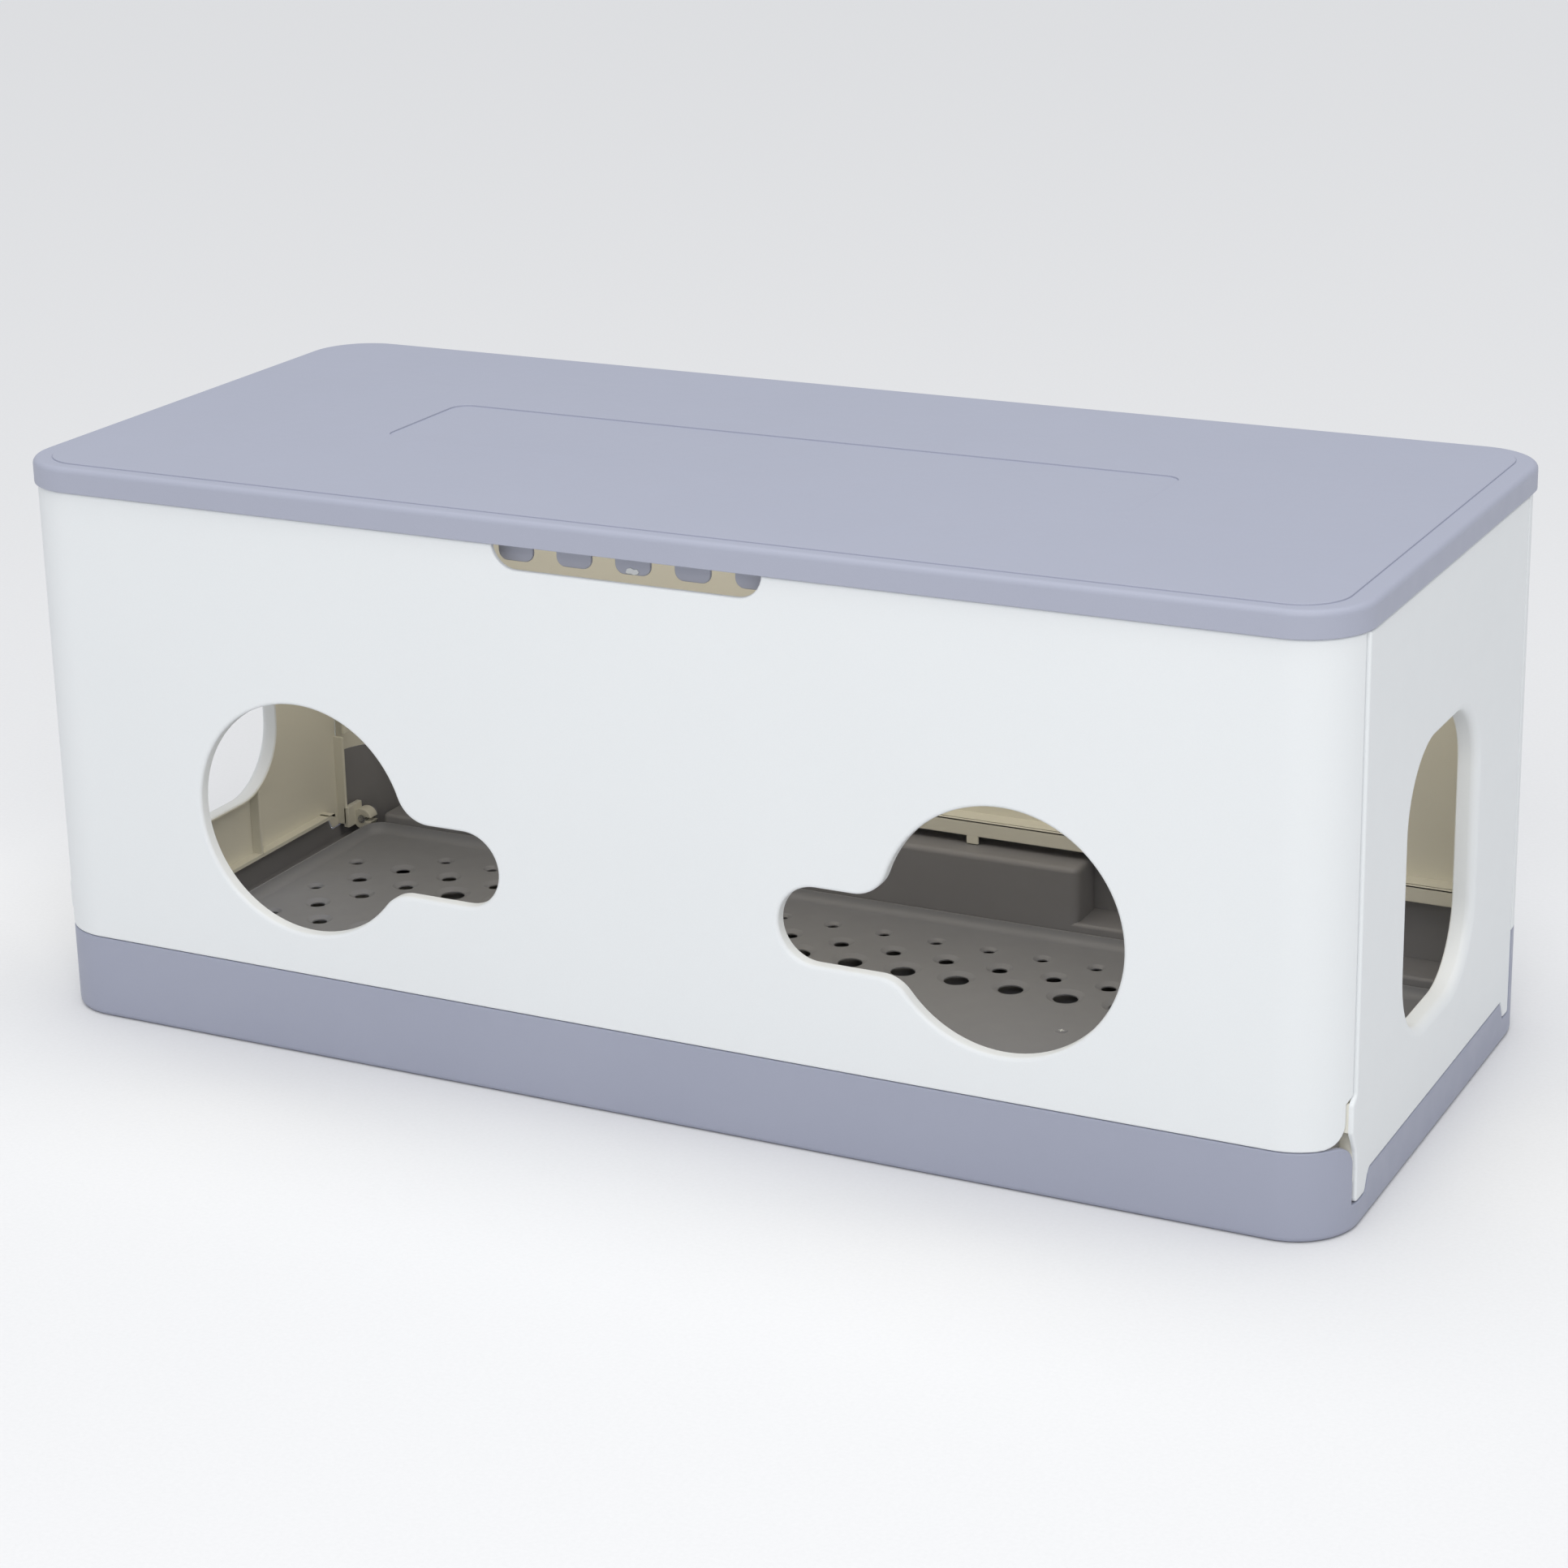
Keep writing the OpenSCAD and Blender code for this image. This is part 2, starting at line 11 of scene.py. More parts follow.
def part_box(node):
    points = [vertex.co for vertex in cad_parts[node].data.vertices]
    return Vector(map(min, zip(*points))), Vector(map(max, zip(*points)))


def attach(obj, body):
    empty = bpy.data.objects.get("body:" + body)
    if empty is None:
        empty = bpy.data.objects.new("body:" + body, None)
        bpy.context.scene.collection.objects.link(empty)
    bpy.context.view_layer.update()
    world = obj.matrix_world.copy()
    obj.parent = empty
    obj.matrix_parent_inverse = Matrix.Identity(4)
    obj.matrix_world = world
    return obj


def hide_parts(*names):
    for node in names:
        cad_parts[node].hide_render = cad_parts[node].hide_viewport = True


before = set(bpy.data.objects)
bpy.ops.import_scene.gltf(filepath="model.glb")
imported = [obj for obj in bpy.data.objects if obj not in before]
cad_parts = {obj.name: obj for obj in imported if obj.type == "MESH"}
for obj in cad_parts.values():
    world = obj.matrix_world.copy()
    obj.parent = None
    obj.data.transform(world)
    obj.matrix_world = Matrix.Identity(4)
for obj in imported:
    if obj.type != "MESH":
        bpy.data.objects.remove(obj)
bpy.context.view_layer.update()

MM = 0.001


def box_mm(node):
    low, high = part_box(node)
    return low / MM, high / MM


# ---------- sizes, from the frame ----------

lid_low, lid_high = box_mm("lid")
tray_low, tray_high = box_mm("base_tray")
sieve_low, sieve_high = box_mm("sieve_plate")

WALL = 3.0
HALF_W = tray_high.x
FRONT_Y = tray_low.y
REAR_Y = tray_high.y
CORNER_R = 41.0
FLAT = HALF_W - CORNER_R
FRONT_CORNER_Y = FRONT_Y + CORNER_R
REAR_CORNER_Y = REAR_Y - CORNER_R
ARC = CORNER_R * math.pi / 2
PANEL_TOP = box_mm("front_panel")[1].z
FRONT_WALL_H = 56.2
SIDE_WALL_H = 29.4
REAR_WALL_H = tray_high.z
NOTCH_Z = 16.5
FOOT_Z = 17.3
STEP_Z = 85.0
FRONT_SEAM_Y = FRONT_CORNER_Y - 11.7
REAR_SEAM_Y = REAR_CORNER_Y - 0.4
LOW_SEAM_Y = FRONT_SEAM_Y - 5.5
FLANGE_T = 2.5
FLANGE_HALF_W = 400.0
FOLD_HINGE_X = 300.0
FOLD_PIN_R = 2.0
FOLD_RING_R = 4.0
FOLD_LUG_L = 16.0
FOLD_CHEEK_L = 6.0
FRONT_FOLD = (FRONT_Y + WALL + FOLD_RING_R + 0.5, FRONT_WALL_H - 6.2)
REAR_FOLD = (REAR_Y - WALL - FOLD_RING_R - 0.5, REAR_WALL_H - 7)
CORNER_STEPS = 14


# ---------- drawing helpers ----------

def arc(cx, cy, r, start, end, steps):
    """Points along an arc, angles in degrees, both ends included."""
    points = []
    for k in range(steps + 1):
        a = math.radians(start + (end - start) * k / steps)
        points.append((cx + r * math.cos(a), cy + r * math.sin(a)))
    return points


def circle(cx, cy, r, steps):
    return arc(cx, cy, r, 0, 360, steps)[:-1]


def rounded(w, d, r, steps=10, cx=0.0, cy=0.0):
    """A rounded rectangle, anticlockwise."""
    loop = []
    for sx, sy, a in ((1, -1, -90), (1, 1, 0), (-1, 1, 90), (-1, -1, 180)):
        loop += arc(cx + sx * (w / 2 - r), cy + sy * (d / 2 - r), r, a, a + 90, steps)
    return loop


def fillet(r, steps):
    """A rounded edge as (inset, depth) pairs, from its flat end to its upright end."""
    turns = [math.pi / 2 * k / steps for k in range(steps + 1)]
    return [(r * (1 - math.sin(a)), r * (1 - math.cos(a))) for a in turns]


def soften(corners, radii, steps=5):
    """Rounds the corners of a polygon; radii gives one radius for each corner."""
    loop = []
    n = len(corners)
    for i in range(n):
        p = Vector(corners[i])
        r = radii[i]
        if r <= 0:
            loop.append((p.x, p.y))
            continue
        a = (Vector(corners[i - 1]) - p).normalized()
        b = (Vector(corners[(i + 1) % n]) - p).normalized()
        half = a.angle(b) / 2
        reach = r / math.tan(half)
        centre = p + (a + b).normalized() * (r / math.sin(half))
        start = p + a * reach - centre
        end = p + b * reach - centre
        turn = start.angle_signed(end)
        for k in range(steps + 1):
            v = start.copy()
            v.rotate(Matrix.Rotation(-turn * k / steps, 2))
            loop.append((centre.x + v.x, centre.y + v.y))
    return loop


def inset(loop, distances):
    """Moves each edge of an anticlockwise loop inward by its own distance."""
    n = len(loop)
    if not isinstance(distances, (list, tuple)):
        distances = [distances] * n
    moved = []
    for i in range(n):
        p = Vector(loop[i])
        e1 = (p - Vector(loop[i - 1])).normalized()
        e2 = (Vector(loop[(i + 1) % n]) - p).normalized()
        n1 = Vector((-e1.y, e1.x))
        n2 = Vector((-e2.y, e2.x))
        d1 = distances[i - 1]
        d2 = distances[i]
        cross = n1.x * n2.y - n1.y * n2.x
        if abs(cross) < 0.02:
            q = p + (n1 + n2).normalized() * (d1 + d2) / 2
        else:
            q = p + Vector(((d1 * n2.y - d2 * n1.y) / cross, (n1.x * d2 - n2.x * d1) / cross))
        moved.append((q.x, q.y))
    return moved


def split_at(loop, kinds, places):
    """Adds points where the loop's edges cross the given first coordinates."""
    new_loop = []
    new_kinds = []
    n = len(loop)
    for i in range(n):
        p = loop[i]
        q = loop[(i + 1) % n]
        cuts = [u for u in places if min(p[0], q[0]) + 1e-4 < u < max(p[0], q[0]) - 1e-4]
        cuts.sort(reverse=q[0] < p[0])
        for u in [None] + cuts:
            if u is None:
                new_loop.append(p)
            else:
                new_loop.append((u, p[1] + (q[1] - p[1]) * (u - p[0]) / (q[0] - p[0])))
            new_kinds.append(kinds[i])
    return new_loop, new_kinds


def inside(loop, x, y):
    hit = False
    j = len(loop) - 1
    for i in range(len(loop)):
        xi, yi = loop[i]
        xj, yj = loop[j]
        if (yi > y) != (yj > y) and x < (xj - xi) * (y - yi) / (yj - yi) + xi:
            hit = not hit
        j = i
    return hit


class Shell:
    """Collects the faces of one piece in millimetres."""

    def __init__(self):
        self.verts = []
        self.faces = []
        self.slots = []

    def add(self, points, faces, slot=0):
        base = len(self.verts)
        self.verts += [Vector(p) for p in points]
        self.faces += [[base + i for i in f] for f in faces]
        self.slots += [slot] * len(faces)

    def loft(self, rings, slot=0, keep=None):
        """Joins closed rings of the same length with quads. keep(i) says which edges get a quad."""
        n = len(rings[0])
        points = [p for ring in rings for p in ring]
        faces = []
        for k in range(len(rings) - 1):
            for i in range(n):
                if keep is None or keep(i):
                    j = (i + 1) % n
                    faces.append((k * n + i, k * n + j, (k + 1) * n + j, (k + 1) * n + i))
        self.add(points, faces, slot)

    def fill(self, outline, holes, place, lines=(), slot=0):
        """Fills a flat outline with holes, split along extra lines, then places it in space."""
        verts = []
        edges = []
        for loop in [outline] + list(holes):
            base = len(verts)
            verts += [Vector(p) for p in loop]
            edges += [(base + i, base + (i + 1) % len(loop)) for i in range(len(loop))]
        for p, q in lines:
            edges.append((len(verts), len(verts) + 1))
            verts += [Vector(p), Vector(q)]
        out, _, tris, _, _, _ = delaunay_2d_cdt(verts, edges, [], 0, 1e-4)
        faces = []
        for t in tris:
            x = sum(out[i].x for i in t) / 3
            y = sum(out[i].y for i in t) / 3
            if inside(outline, x, y) and not any(inside(h, x, y) for h in holes):
                faces.append(tuple(t))
        self.add([place(v.x, v.y) for v in out], faces, slot)

    def bar(self, loop, place, length, r=0.6, steps=3, slot=0, holes=()):
        """A moulded bar: the loop carried over a length, with rounded ends."""
        rings = []
        ramp = fillet(r, steps)
        for gap, deep in ramp:
            rings.append([place(p[0], p[1], deep) for p in inset(loop, gap)])
        for gap, deep in reversed(ramp):
            rings.append([place(p[0], p[1], length - deep) for p in inset(loop, gap)])
        self.loft(rings, slot)
        for deep in (0, length):
            self.fill(inset(loop, r), holes, lambda x, y: place(x, y, deep), slot=slot)
        for hole in holes:
            self.loft([[place(p[0], p[1], d) for p in hole] for d in (0, length)], slot)

    def soft_box(self, x0, x1, y0, y1, z0, z1, r=1.0, slot=0):
        """A block with rounded edges; the radius is cut down where the block is thin."""
        corner = min(r, (x1 - x0) / 2.2, (y1 - y0) / 2.2)
        loop = rounded(x1 - x0, y1 - y0, corner, 3, (x0 + x1) / 2, (y0 + y1) / 2)
        end_r = min(corner * 0.7, (z1 - z0) / 2.2)
        self.bar(loop, lambda x, y, d: (x, y, z0 + d), z1 - z0, end_r, slot=slot)

    def build(self, name, materials, sharp=38.0):
        bm = bmesh.new()
        made = [bm.verts.new(v * MM) for v in self.verts]
        for f, s in zip(self.faces, self.slots):
            corners = []
            for i in f:
                if made[i] not in corners:
                    corners.append(made[i])
            if len(corners) > 2 and bm.faces.get(corners) is None:
                face = bm.faces.new(corners)
                face.material_index = s
        bmesh.ops.remove_doubles(bm, verts=bm.verts, dist=0.004 * MM)
        bmesh.ops.dissolve_degenerate(bm, edges=bm.edges, dist=0.0005 * MM)
        loose = [v for v in bm.verts if not v.link_faces]
        bmesh.ops.delete(bm, geom=loose, context="VERTS")
        bmesh.ops.recalc_face_normals(bm, faces=bm.faces)
        limit = math.radians(sharp)
        for e in bm.edges:
            if len(e.link_faces) == 2 and e.calc_face_angle(0) > limit:
                e.smooth = False
        for f in bm.faces:
            f.smooth = True
        mesh = bpy.data.meshes.new(name)
        bm.to_mesh(mesh)
        bm.free()
        piece = bpy.data.objects.new(name, mesh)
        bpy.context.scene.collection.objects.link(piece)
        for m in materials:
            mesh.materials.append(m)
        return piece


def even_shading(piece):
    """Flat faces keep their flat look beside small fillets."""
    mod = piece.modifiers.new("even_shading", "WEIGHTED_NORMAL")
    mod.keep_sharp = True
    mod.weight = 80


def moulded_panel(shell, outline, kinds, holes, place, lines=(), edge_r=1.0, lip_r=3.0,
                  depth=WALL, flange=7.0, tunnel=9.0, slots=(0, 0)):
    """A thin panel with rounded edges. kinds names each outline edge: open, plain or flange.
    holes are functions that give a hole's loop grown by a distance."""
    def is_edge(i):
        return kinds[i] != "open"

    # Rounded outer edge, the flanges behind it, then the two faces
    rings = []
    for gap, deep in fillet(edge_r, 4):
        loop = inset(outline, [gap if is_edge(i) else 0.0 for i in range(len(kinds))])
        rings.append([place(p[0], p[1], deep) for p in loop])
    reach = [flange if "flange" in (kinds[i], kinds[i - 1]) else 0 for i in range(len(kinds))]
    rim = [place(p[0], p[1], depth + more) for p, more in zip(outline, reach)]
    shell.loft(rings + [rim], slots[0], keep=is_edge)
    inner_loop = inset(outline, [FLANGE_T if k == "flange" else 0.0 for k in kinds])
    inner_rim = [place(p[0], p[1], depth + more) for p, more in zip(inner_loop, reach)]
    inner_foot = [place(p[0], p[1], depth) for p in inner_loop]
    shell.loft([rim, inner_rim, inner_foot], slots[1], keep=is_edge)
    outer_loop = inset(outline, [edge_r if is_edge(i) else 0.0 for i in range(len(kinds))])
    shell.fill(outer_loop, [h(lip_r) for h in holes], lambda u, v: place(u, v, 0), lines, slots[0])
    shell.fill(inner_loop, [h(FLANGE_T) for h in holes], lambda u, v: place(u, v, depth), lines, slots[1])

    # Each hole's rounded lip runs on into a short tunnel with its own rim
    bevel = 0.8
    rim_bevel = 0.5
    seen = fillet(lip_r, 4) + [(0, tunnel - bevel), (bevel, tunnel)]
    hidden = [(bevel, tunnel), (FLANGE_T - rim_bevel, tunnel), (FLANGE_T, tunnel - rim_bevel),
              (FLANGE_T, depth)]
    for hole in holes:
        for profile, slot in zip((seen, hidden), slots):
            shell.loft([[place(p[0], p[1], deep) for p in hole(gap)] for gap, deep in profile], slot)


# ---------- outlines wrapped round a rounded rectangle ----------

def around(w, d, r, cy, steps=CORNER_STEPS):
    """Maps (u, z, depth) on to a rounded rectangle: u runs from the middle of the front, and ends at
    plus and minus half the perimeter in the middle of the back; depth is inward.
    Also gives the places of u where the corners need a point, and half the perimeter."""
    flat = w / 2 - r
    bend = r * math.pi / 2
    run = d - 2 * r
    half = 2 * flat + 2 * bend + run

    def place(u, z, depth):
        s = abs(u)
        if s <= flat:
            x, y = s, depth - d / 2
        elif s <= flat + bend:
            a = (s - flat) / r
            x, y = flat + (r - depth) * math.sin(a), r - d / 2 - (r - depth) * math.cos(a)
        elif s <= flat + bend + run:
            x, y = w / 2 - depth, r - d / 2 + s - flat - bend
        elif s <= flat + 2 * bend + run:
            a = (s - flat - bend - run) / r
            x, y = flat + (r - depth) * math.cos(a), d / 2 - r + (r - depth) * math.sin(a)
        else:
            x, y = half - s, d / 2 - depth
        return (math.copysign(x, u), cy + y, z)

    right = [flat + bend * k / steps for k in range(steps + 1)]
    right += [flat + bend + run + bend * k / steps for k in range(steps + 1)]
    return place, [-u for u in reversed(right)] + right, half


def along_side(y):
    """Length along the body's outline, from the middle of the front, of a place on the side."""
    if y >= FRONT_CORNER_Y:
        return FLAT + ARC + y - FRONT_CORNER_Y
    return FLAT + CORNER_R * math.acos((FRONT_CORNER_Y - y) / CORNER_R)


def along_rear_side(y):
    """The same, from the middle of the back."""
    if y <= REAR_CORNER_Y:
        return FLAT + ARC + REAR_CORNER_Y - y
    return FLAT + CORNER_R * math.acos((y - REAR_CORNER_Y) / CORNER_R)


on_body, BODY_PLACES, BODY_HALF = around(2 * HALF_W, REAR_Y - FRONT_Y, CORNER_R, (FRONT_Y + REAR_Y) / 2)


def on_rear(u, z, depth):
    x, y, z = on_body(u, z, depth)
    return (x, FRONT_Y + REAR_Y - y, z)


def upright_lines(places, low=-10.0, high=400.0):
    return [((u, low), (u, high)) for u in places]


# ---------- materials ----------

def new_material(name):
    mat = bpy.data.materials.new(name)
    mat.use_nodes = True
    tree = mat.node_tree
    shader = tree.nodes["Principled BSDF"]
    return mat, tree, shader


def noise(tree, coords, scale, detail, rough=0.5):
    node = tree.nodes.new("ShaderNodeTexNoise")
    node.inputs["Scale"].default_value = scale
    node.inputs["Detail"].default_value = detail
    node.inputs["Roughness"].default_value = rough
    tree.links.new(coords, node.inputs["Vector"])
    return node.outputs["Fac"]


def ranged(tree, value, low, high, out_low, out_high):
    node = tree.nodes.new("ShaderNodeMapRange")
    node.inputs["From Min"].default_value = low
    node.inputs["From Max"].default_value = high
    node.inputs["To Min"].default_value = out_low
    node.inputs["To Max"].default_value = out_high
    tree.links.new(value, node.inputs["Value"])
    return node.outputs["Result"]


def mixed(tree, factor, a, b):
    node = tree.nodes.new("ShaderNodeMix")
    node.data_type = "RGBA"
    for socket, value in ((node.inputs[6], a), (node.inputs[7], b)):
        if isinstance(value, tuple):
            socket.default_value = value + (1.0,)
        else:
            tree.links.new(value, socket)
    tree.links.new(factor, node.inputs[0])
    return node.outputs[2]


def plastic(name, colour, shade, roughness, grain=1400.0, grain_depth=0.00003, specks=0.0):
    """Moulded polypropylene: spark-eroded grain, faint flow marks, soft waviness and a few dust specks."""
    mat, tree, shader = new_material(name)
    coords = tree.nodes.new("ShaderNodeTexCoord").outputs["Object"]
    cloud = ranged(tree, noise(tree, coords, 9.0, 3.0), 0.35, 0.65, 0.0, 1.0)
    tint = mixed(tree, cloud, colour, shade)
    fine = noise(tree, coords, grain, 2.0, 0.6)
    tint = mixed(tree, ranged(tree, fine, 0.3, 0.7, 0.0, 0.10), tint, tuple(c * 0.82 for c in shade))
    if specks:
        cells = tree.nodes.new("ShaderNodeTexVoronoi")
        cells.inputs["Scale"].default_value = 26.0
        tree.links.new(coords, cells.inputs["Vector"])
        dot = ranged(tree, cells.outputs["Distance"], 0.010, 0.022, 1.0, 0.0)
        picked = ranged(tree, noise(tree, coords, 7.0, 0.0), 0.66, 0.68, 0.0, specks)
        both = tree.nodes.new("ShaderNodeMath")
        both.operation = "MULTIPLY"
        tree.links.new(dot, both.inputs[0])
        tree.links.new(picked, both.inputs[1])
        tint = mixed(tree, both.outputs[0], tint, (0.16, 0.17, 0.20))
    tree.links.new(tint, shader.inputs["Base Color"])
    streaks = noise(tree, coords, 60.0, 4.0)
    gloss = ranged(tree, streaks, 0.3, 0.7, roughness - 0.05, roughness + 0.05)
    tree.links.new(gloss, shader.inputs["Roughness"])
    shader.inputs["Specular IOR Level"].default_value = 0.45
    grain_bump = tree.nodes.new("ShaderNodeBump")
    grain_bump.inputs["Strength"].default_value = 0.35
    grain_bump.inputs["Distance"].default_value = grain_depth
    tree.links.new(fine, grain_bump.inputs["Height"])
    wave_bump = tree.nodes.new("ShaderNodeBump")
    wave_bump.inputs["Strength"].default_value = 0.5
    wave_bump.inputs["Distance"].default_value = 0.00012
    tree.links.new(noise(tree, coords, 14.0, 1.0), wave_bump.inputs["Height"])
    tree.links.new(grain_bump.outputs["Normal"], wave_bump.inputs["Normal"])
    tree.links.new(wave_bump.outputs["Normal"], shader.inputs["Normal"])
    return mat


def drawn_steel(name):
    """Bright wire with fine drawing marks round it."""
    mat, tree, shader = new_material(name)
    coords = tree.nodes.new("ShaderNodeTexCoord").outputs["Object"]
    marks = noise(tree, coords, 900.0, 3.0)
    tree.links.new(mixed(tree, marks, (0.55, 0.56, 0.58), (0.66, 0.67, 0.69)), shader.inputs["Base Color"])
    tree.links.new(ranged(tree, marks, 0.3, 0.7, 0.22, 0.38), shader.inputs["Roughness"])
    shader.inputs["Metallic"].default_value = 1.0
    bump = tree.nodes.new("ShaderNodeBump")
    bump.inputs["Strength"].default_value = 0.3
    bump.inputs["Distance"].default_value = 0.00002
    tree.links.new(marks, bump.inputs["Height"])
    tree.links.new(bump.outputs["Normal"], shader.inputs["Normal"])
    return mat


WHITE = plastic("white_plastic", (0.84, 0.865, 0.88), (0.835, 0.86, 0.875), 0.42, specks=0.8)
# Painted warm shade: the same white plastic, made darker and yellower on the inner faces to stand for the
# dim, warm light inside the cabin
WHITE_INSIDE_PAINTED_SHADE = plastic("white_plastic_inside_painted_shade", (0.83, 0.815, 0.735), (0.82, 0.805, 0.725), 0.48)
GREY = plastic("grey_plastic", (0.37, 0.39, 0.485), (0.36, 0.38, 0.475), 0.46)
GREY_LID = plastic("grey_lid", (0.415, 0.435, 0.53), (0.41, 0.43, 0.525), 0.50, grain=1100.0,
                   grain_depth=0.00005)
# Painted light: the lid's grey made lighter on the hook tabs, so they look lit though they sit in shade
# behind the front panel
GREY_TABS_PAINTED_LIGHT = plastic("grey_tabs_painted_light", (0.50, 0.52, 0.62), (0.49, 0.51, 0.61), 0.46)
# Painted shade: the tray's grey plastic made darker and more neutral on its inner faces, ledges and cheeks,
# where shade falls inside the box
GREY_INSIDE_PAINTED_SHADE = plastic("grey_plastic_inside_painted_shade", (0.28, 0.28, 0.305), (0.27, 0.27, 0.295), 0.50)
# The sieve's own grey plastic, darkened and made more neutral as painted shade of the cabin around it
GREY_SIEVE_PAINTED_SHADE = plastic("grey_sieve", (0.28, 0.287, 0.32), (0.27, 0.277, 0.31), 0.45)
STEEL = drawn_steel("pin_steel")


# ---------- front panel ----------

WINDOW_R = 77.0
WINDOW_X = 241.0
WINDOW_Z = 162.0
TAIL_X = WINDOW_X - 119.2
TAIL_Z = WINDOW_Z - 14.9
TAIL_R = 24.8
NECK_R = 23.0
SLOT_HALF_W = 91.0
SLOT_R = 16.0


def window_loop(grow):
    """The right-hand cut-out: disc, upper neck, tail, lower neck."""
    disc = WINDOW_R + grow
    tail = TAIL_R + grow
    neck = NECK_R - grow
    spots = []
    for s in (1, -1):
        z = TAIL_Z + s * (tail + neck)
        spots.append((WINDOW_X - math.sqrt((disc + neck) ** 2 - (z - WINDOW_Z) ** 2), z))
    angles = [math.degrees(math.atan2(z - WINDOW_Z, x - WINDOW_X)) for x, z in spots]
    loop = arc(WINDOW_X, WINDOW_Z, disc, angles[1], angles[0], 84)[:-1]
    loop += arc(spots[0][0], spots[0][1], neck, angles[0] - 180, -90, 10)
    loop += arc(TAIL_X, TAIL_Z, tail, 90, 270, 30)
    loop += arc(spots[1][0], spots[1][1], neck, 90, angles[1] + 180, 10)[:-1]
    return loop


def left_window_loop(grow):
    return [(-x, z) for x, z in reversed(window_loop(grow))]


def front_outline():
    """Outline of the front panel laid flat, anticlockwise, with the kind of each edge."""
    low = FRONT_WALL_H + 0.4
    low_r = 15.0
    run_out = FLANGE_HALF_W + 1.5
    half = [(FLANGE_HALF_W, low), (run_out, low)]
    half += [(along_side(y), z) for y, z in arc(LOW_SEAM_Y - low_r, low + low_r, low_r, -90, 0, 8)]
    half += [(along_side(LOW_SEAM_Y), STEP_Z - 3), (along_side(FRONT_SEAM_Y), STEP_Z + 1)]
    half += [(along_side(FRONT_SEAM_Y), PANEL_TOP), (run_out, PANEL_TOP), (FLANGE_HALF_W, PANEL_TOP)]
    slot_floor = PANEL_TOP - 15.4
    drop = math.degrees(math.asin((slot_floor + SLOT_R - PANEL_TOP) / SLOT_R))
    half.append((SLOT_HALF_W + 1.5, PANEL_TOP))
    half += arc(SLOT_HALF_W - SLOT_R, slot_floor + SLOT_R, SLOT_R, -drop, -90, 8)
    outline = half + [(-u, z) for u, z in reversed(half)]
    kinds = []
    for p, q in zip(outline, outline[1:] + outline[:1]):
        level = abs(p[1] - low) < 0.01 and abs(q[1] - low) < 0.01
        top = min(p[1], q[1]) > PANEL_TOP - 0.01 and min(abs(p[0]), abs(q[0])) > SLOT_HALF_W + 1
        straight = max(abs(p[0]), abs(q[0])) < FLANGE_HALF_W + 0.01 and (level or top)
        kinds.append("flange" if straight else "plain")
    return outline, kinds


def make_front_panel():
    shell = Shell()
    outline, kinds = front_outline()
    outline, kinds = split_at(outline, kinds, BODY_PLACES)
    moulded_panel(shell, outline, kinds, [window_loop, left_window_loop], on_body,
                  upright_lines(BODY_PLACES), edge_r=1.4, lip_r=2.6, flange=7.0, tunnel=9.0, slots=(0, 1))
    for k in (-1, 0, 1):
        fold_lug(shell, k * FOLD_HINGE_X, *FRONT_FOLD, FRONT_WALL_H + 2)
    piece = shell.build("front_panel_skin", [WHITE, WHITE_INSIDE_PAINTED_SHADE])
    even_shading(piece)
    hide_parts("front_panel")
    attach(piece, "base")
    return piece


def fold_lug(shell, x, y, z, top):
    """A hinge lug that hangs from a panel: a ring with a straight neck."""
    r = FOLD_RING_R
    loop = [(y - r, top)] + arc(y, z, r, 180, 360, 10) + [(y + r, top)]
    hole = circle(y, z, FOLD_PIN_R + 0.05, 16)
    shell.bar(loop, lambda a, b, d: (x - FOLD_LUG_L / 2 + d, a, b), FOLD_LUG_L, 0.5, slot=1, holes=[hole])


# ---------- rear panel ----------

def make_rear_panel():
    shell = Shell()
    low = REAR_WALL_H + 0.3
    seam = along_rear_side(REAR_SEAM_Y)
    half = [(FLANGE_HALF_W, low), (seam, low), (seam, PANEL_TOP), (FLANGE_HALF_W, PANEL_TOP)]
    outline = half + [(-x, z) for x, z in reversed(half)]
    kinds = ["plain", "plain", "plain", "flange", "plain", "plain", "plain", "plain"]
    outline, kinds = split_at(outline, kinds, BODY_PLACES)
    moulded_panel(shell, outline, kinds, [], on_rear, upright_lines(BODY_PLACES), edge_r=1.0, slots=(0, 1))
    end = 405.0
    shelf_y = REAR_Y - 18.9
    shelf_top = low + 12
    lip_y = shelf_y + FLANGE_T
    shell.soft_box(-end, end, shelf_y, REAR_Y - WALL + 0.5, shelf_top - FLANGE_T, shelf_top, 1.2, 1)
    shell.soft_box(-end, end, shelf_y, lip_y, low, shelf_top, 1.1, 1)
    for s in (-1, 1):
        tab_x = s * 61.5
        shell.soft_box(tab_x - 4.5, tab_x + 4.5, shelf_y, lip_y, low - 5.8, low + 1, 1.0, 1)
        fold_lug(shell, s * FOLD_HINGE_X, *REAR_FOLD, low + 10)
    for k in (-1, 0, 1):
        loop = [(REAR_Y - WALL, PANEL_TOP - 1), (REAR_Y - 0.4, PANEL_TOP - 1)]
        loop.append((REAR_Y - 0.2, PANEL_TOP + 0.2))
        loop += arc(LID_HINGE_Y, LID_HINGE_Z, LID_RING_R, 215, 450, 14)
        loop += [(REAR_Y - WALL, LID_HINGE_Z + LID_RING_R)]
        hole = circle(LID_HINGE_Y, LID_HINGE_Z, LID_PIN_R + 0.02, 16)
        x0 = k * FOLD_HINGE_X - LID_LUG_L / 2
        shell.bar(loop, lambda a, b, d: (x0 + d, a, b), LID_LUG_L, 0.4, slot=0, holes=[hole])
    piece = shell.build("rear_panel_skin", [WHITE, WHITE_INSIDE_PAINTED_SHADE])
    even_shading(piece)
    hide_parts("rear_panel")
    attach(piece, "base")
    return piece


# ---------- side panels ----------

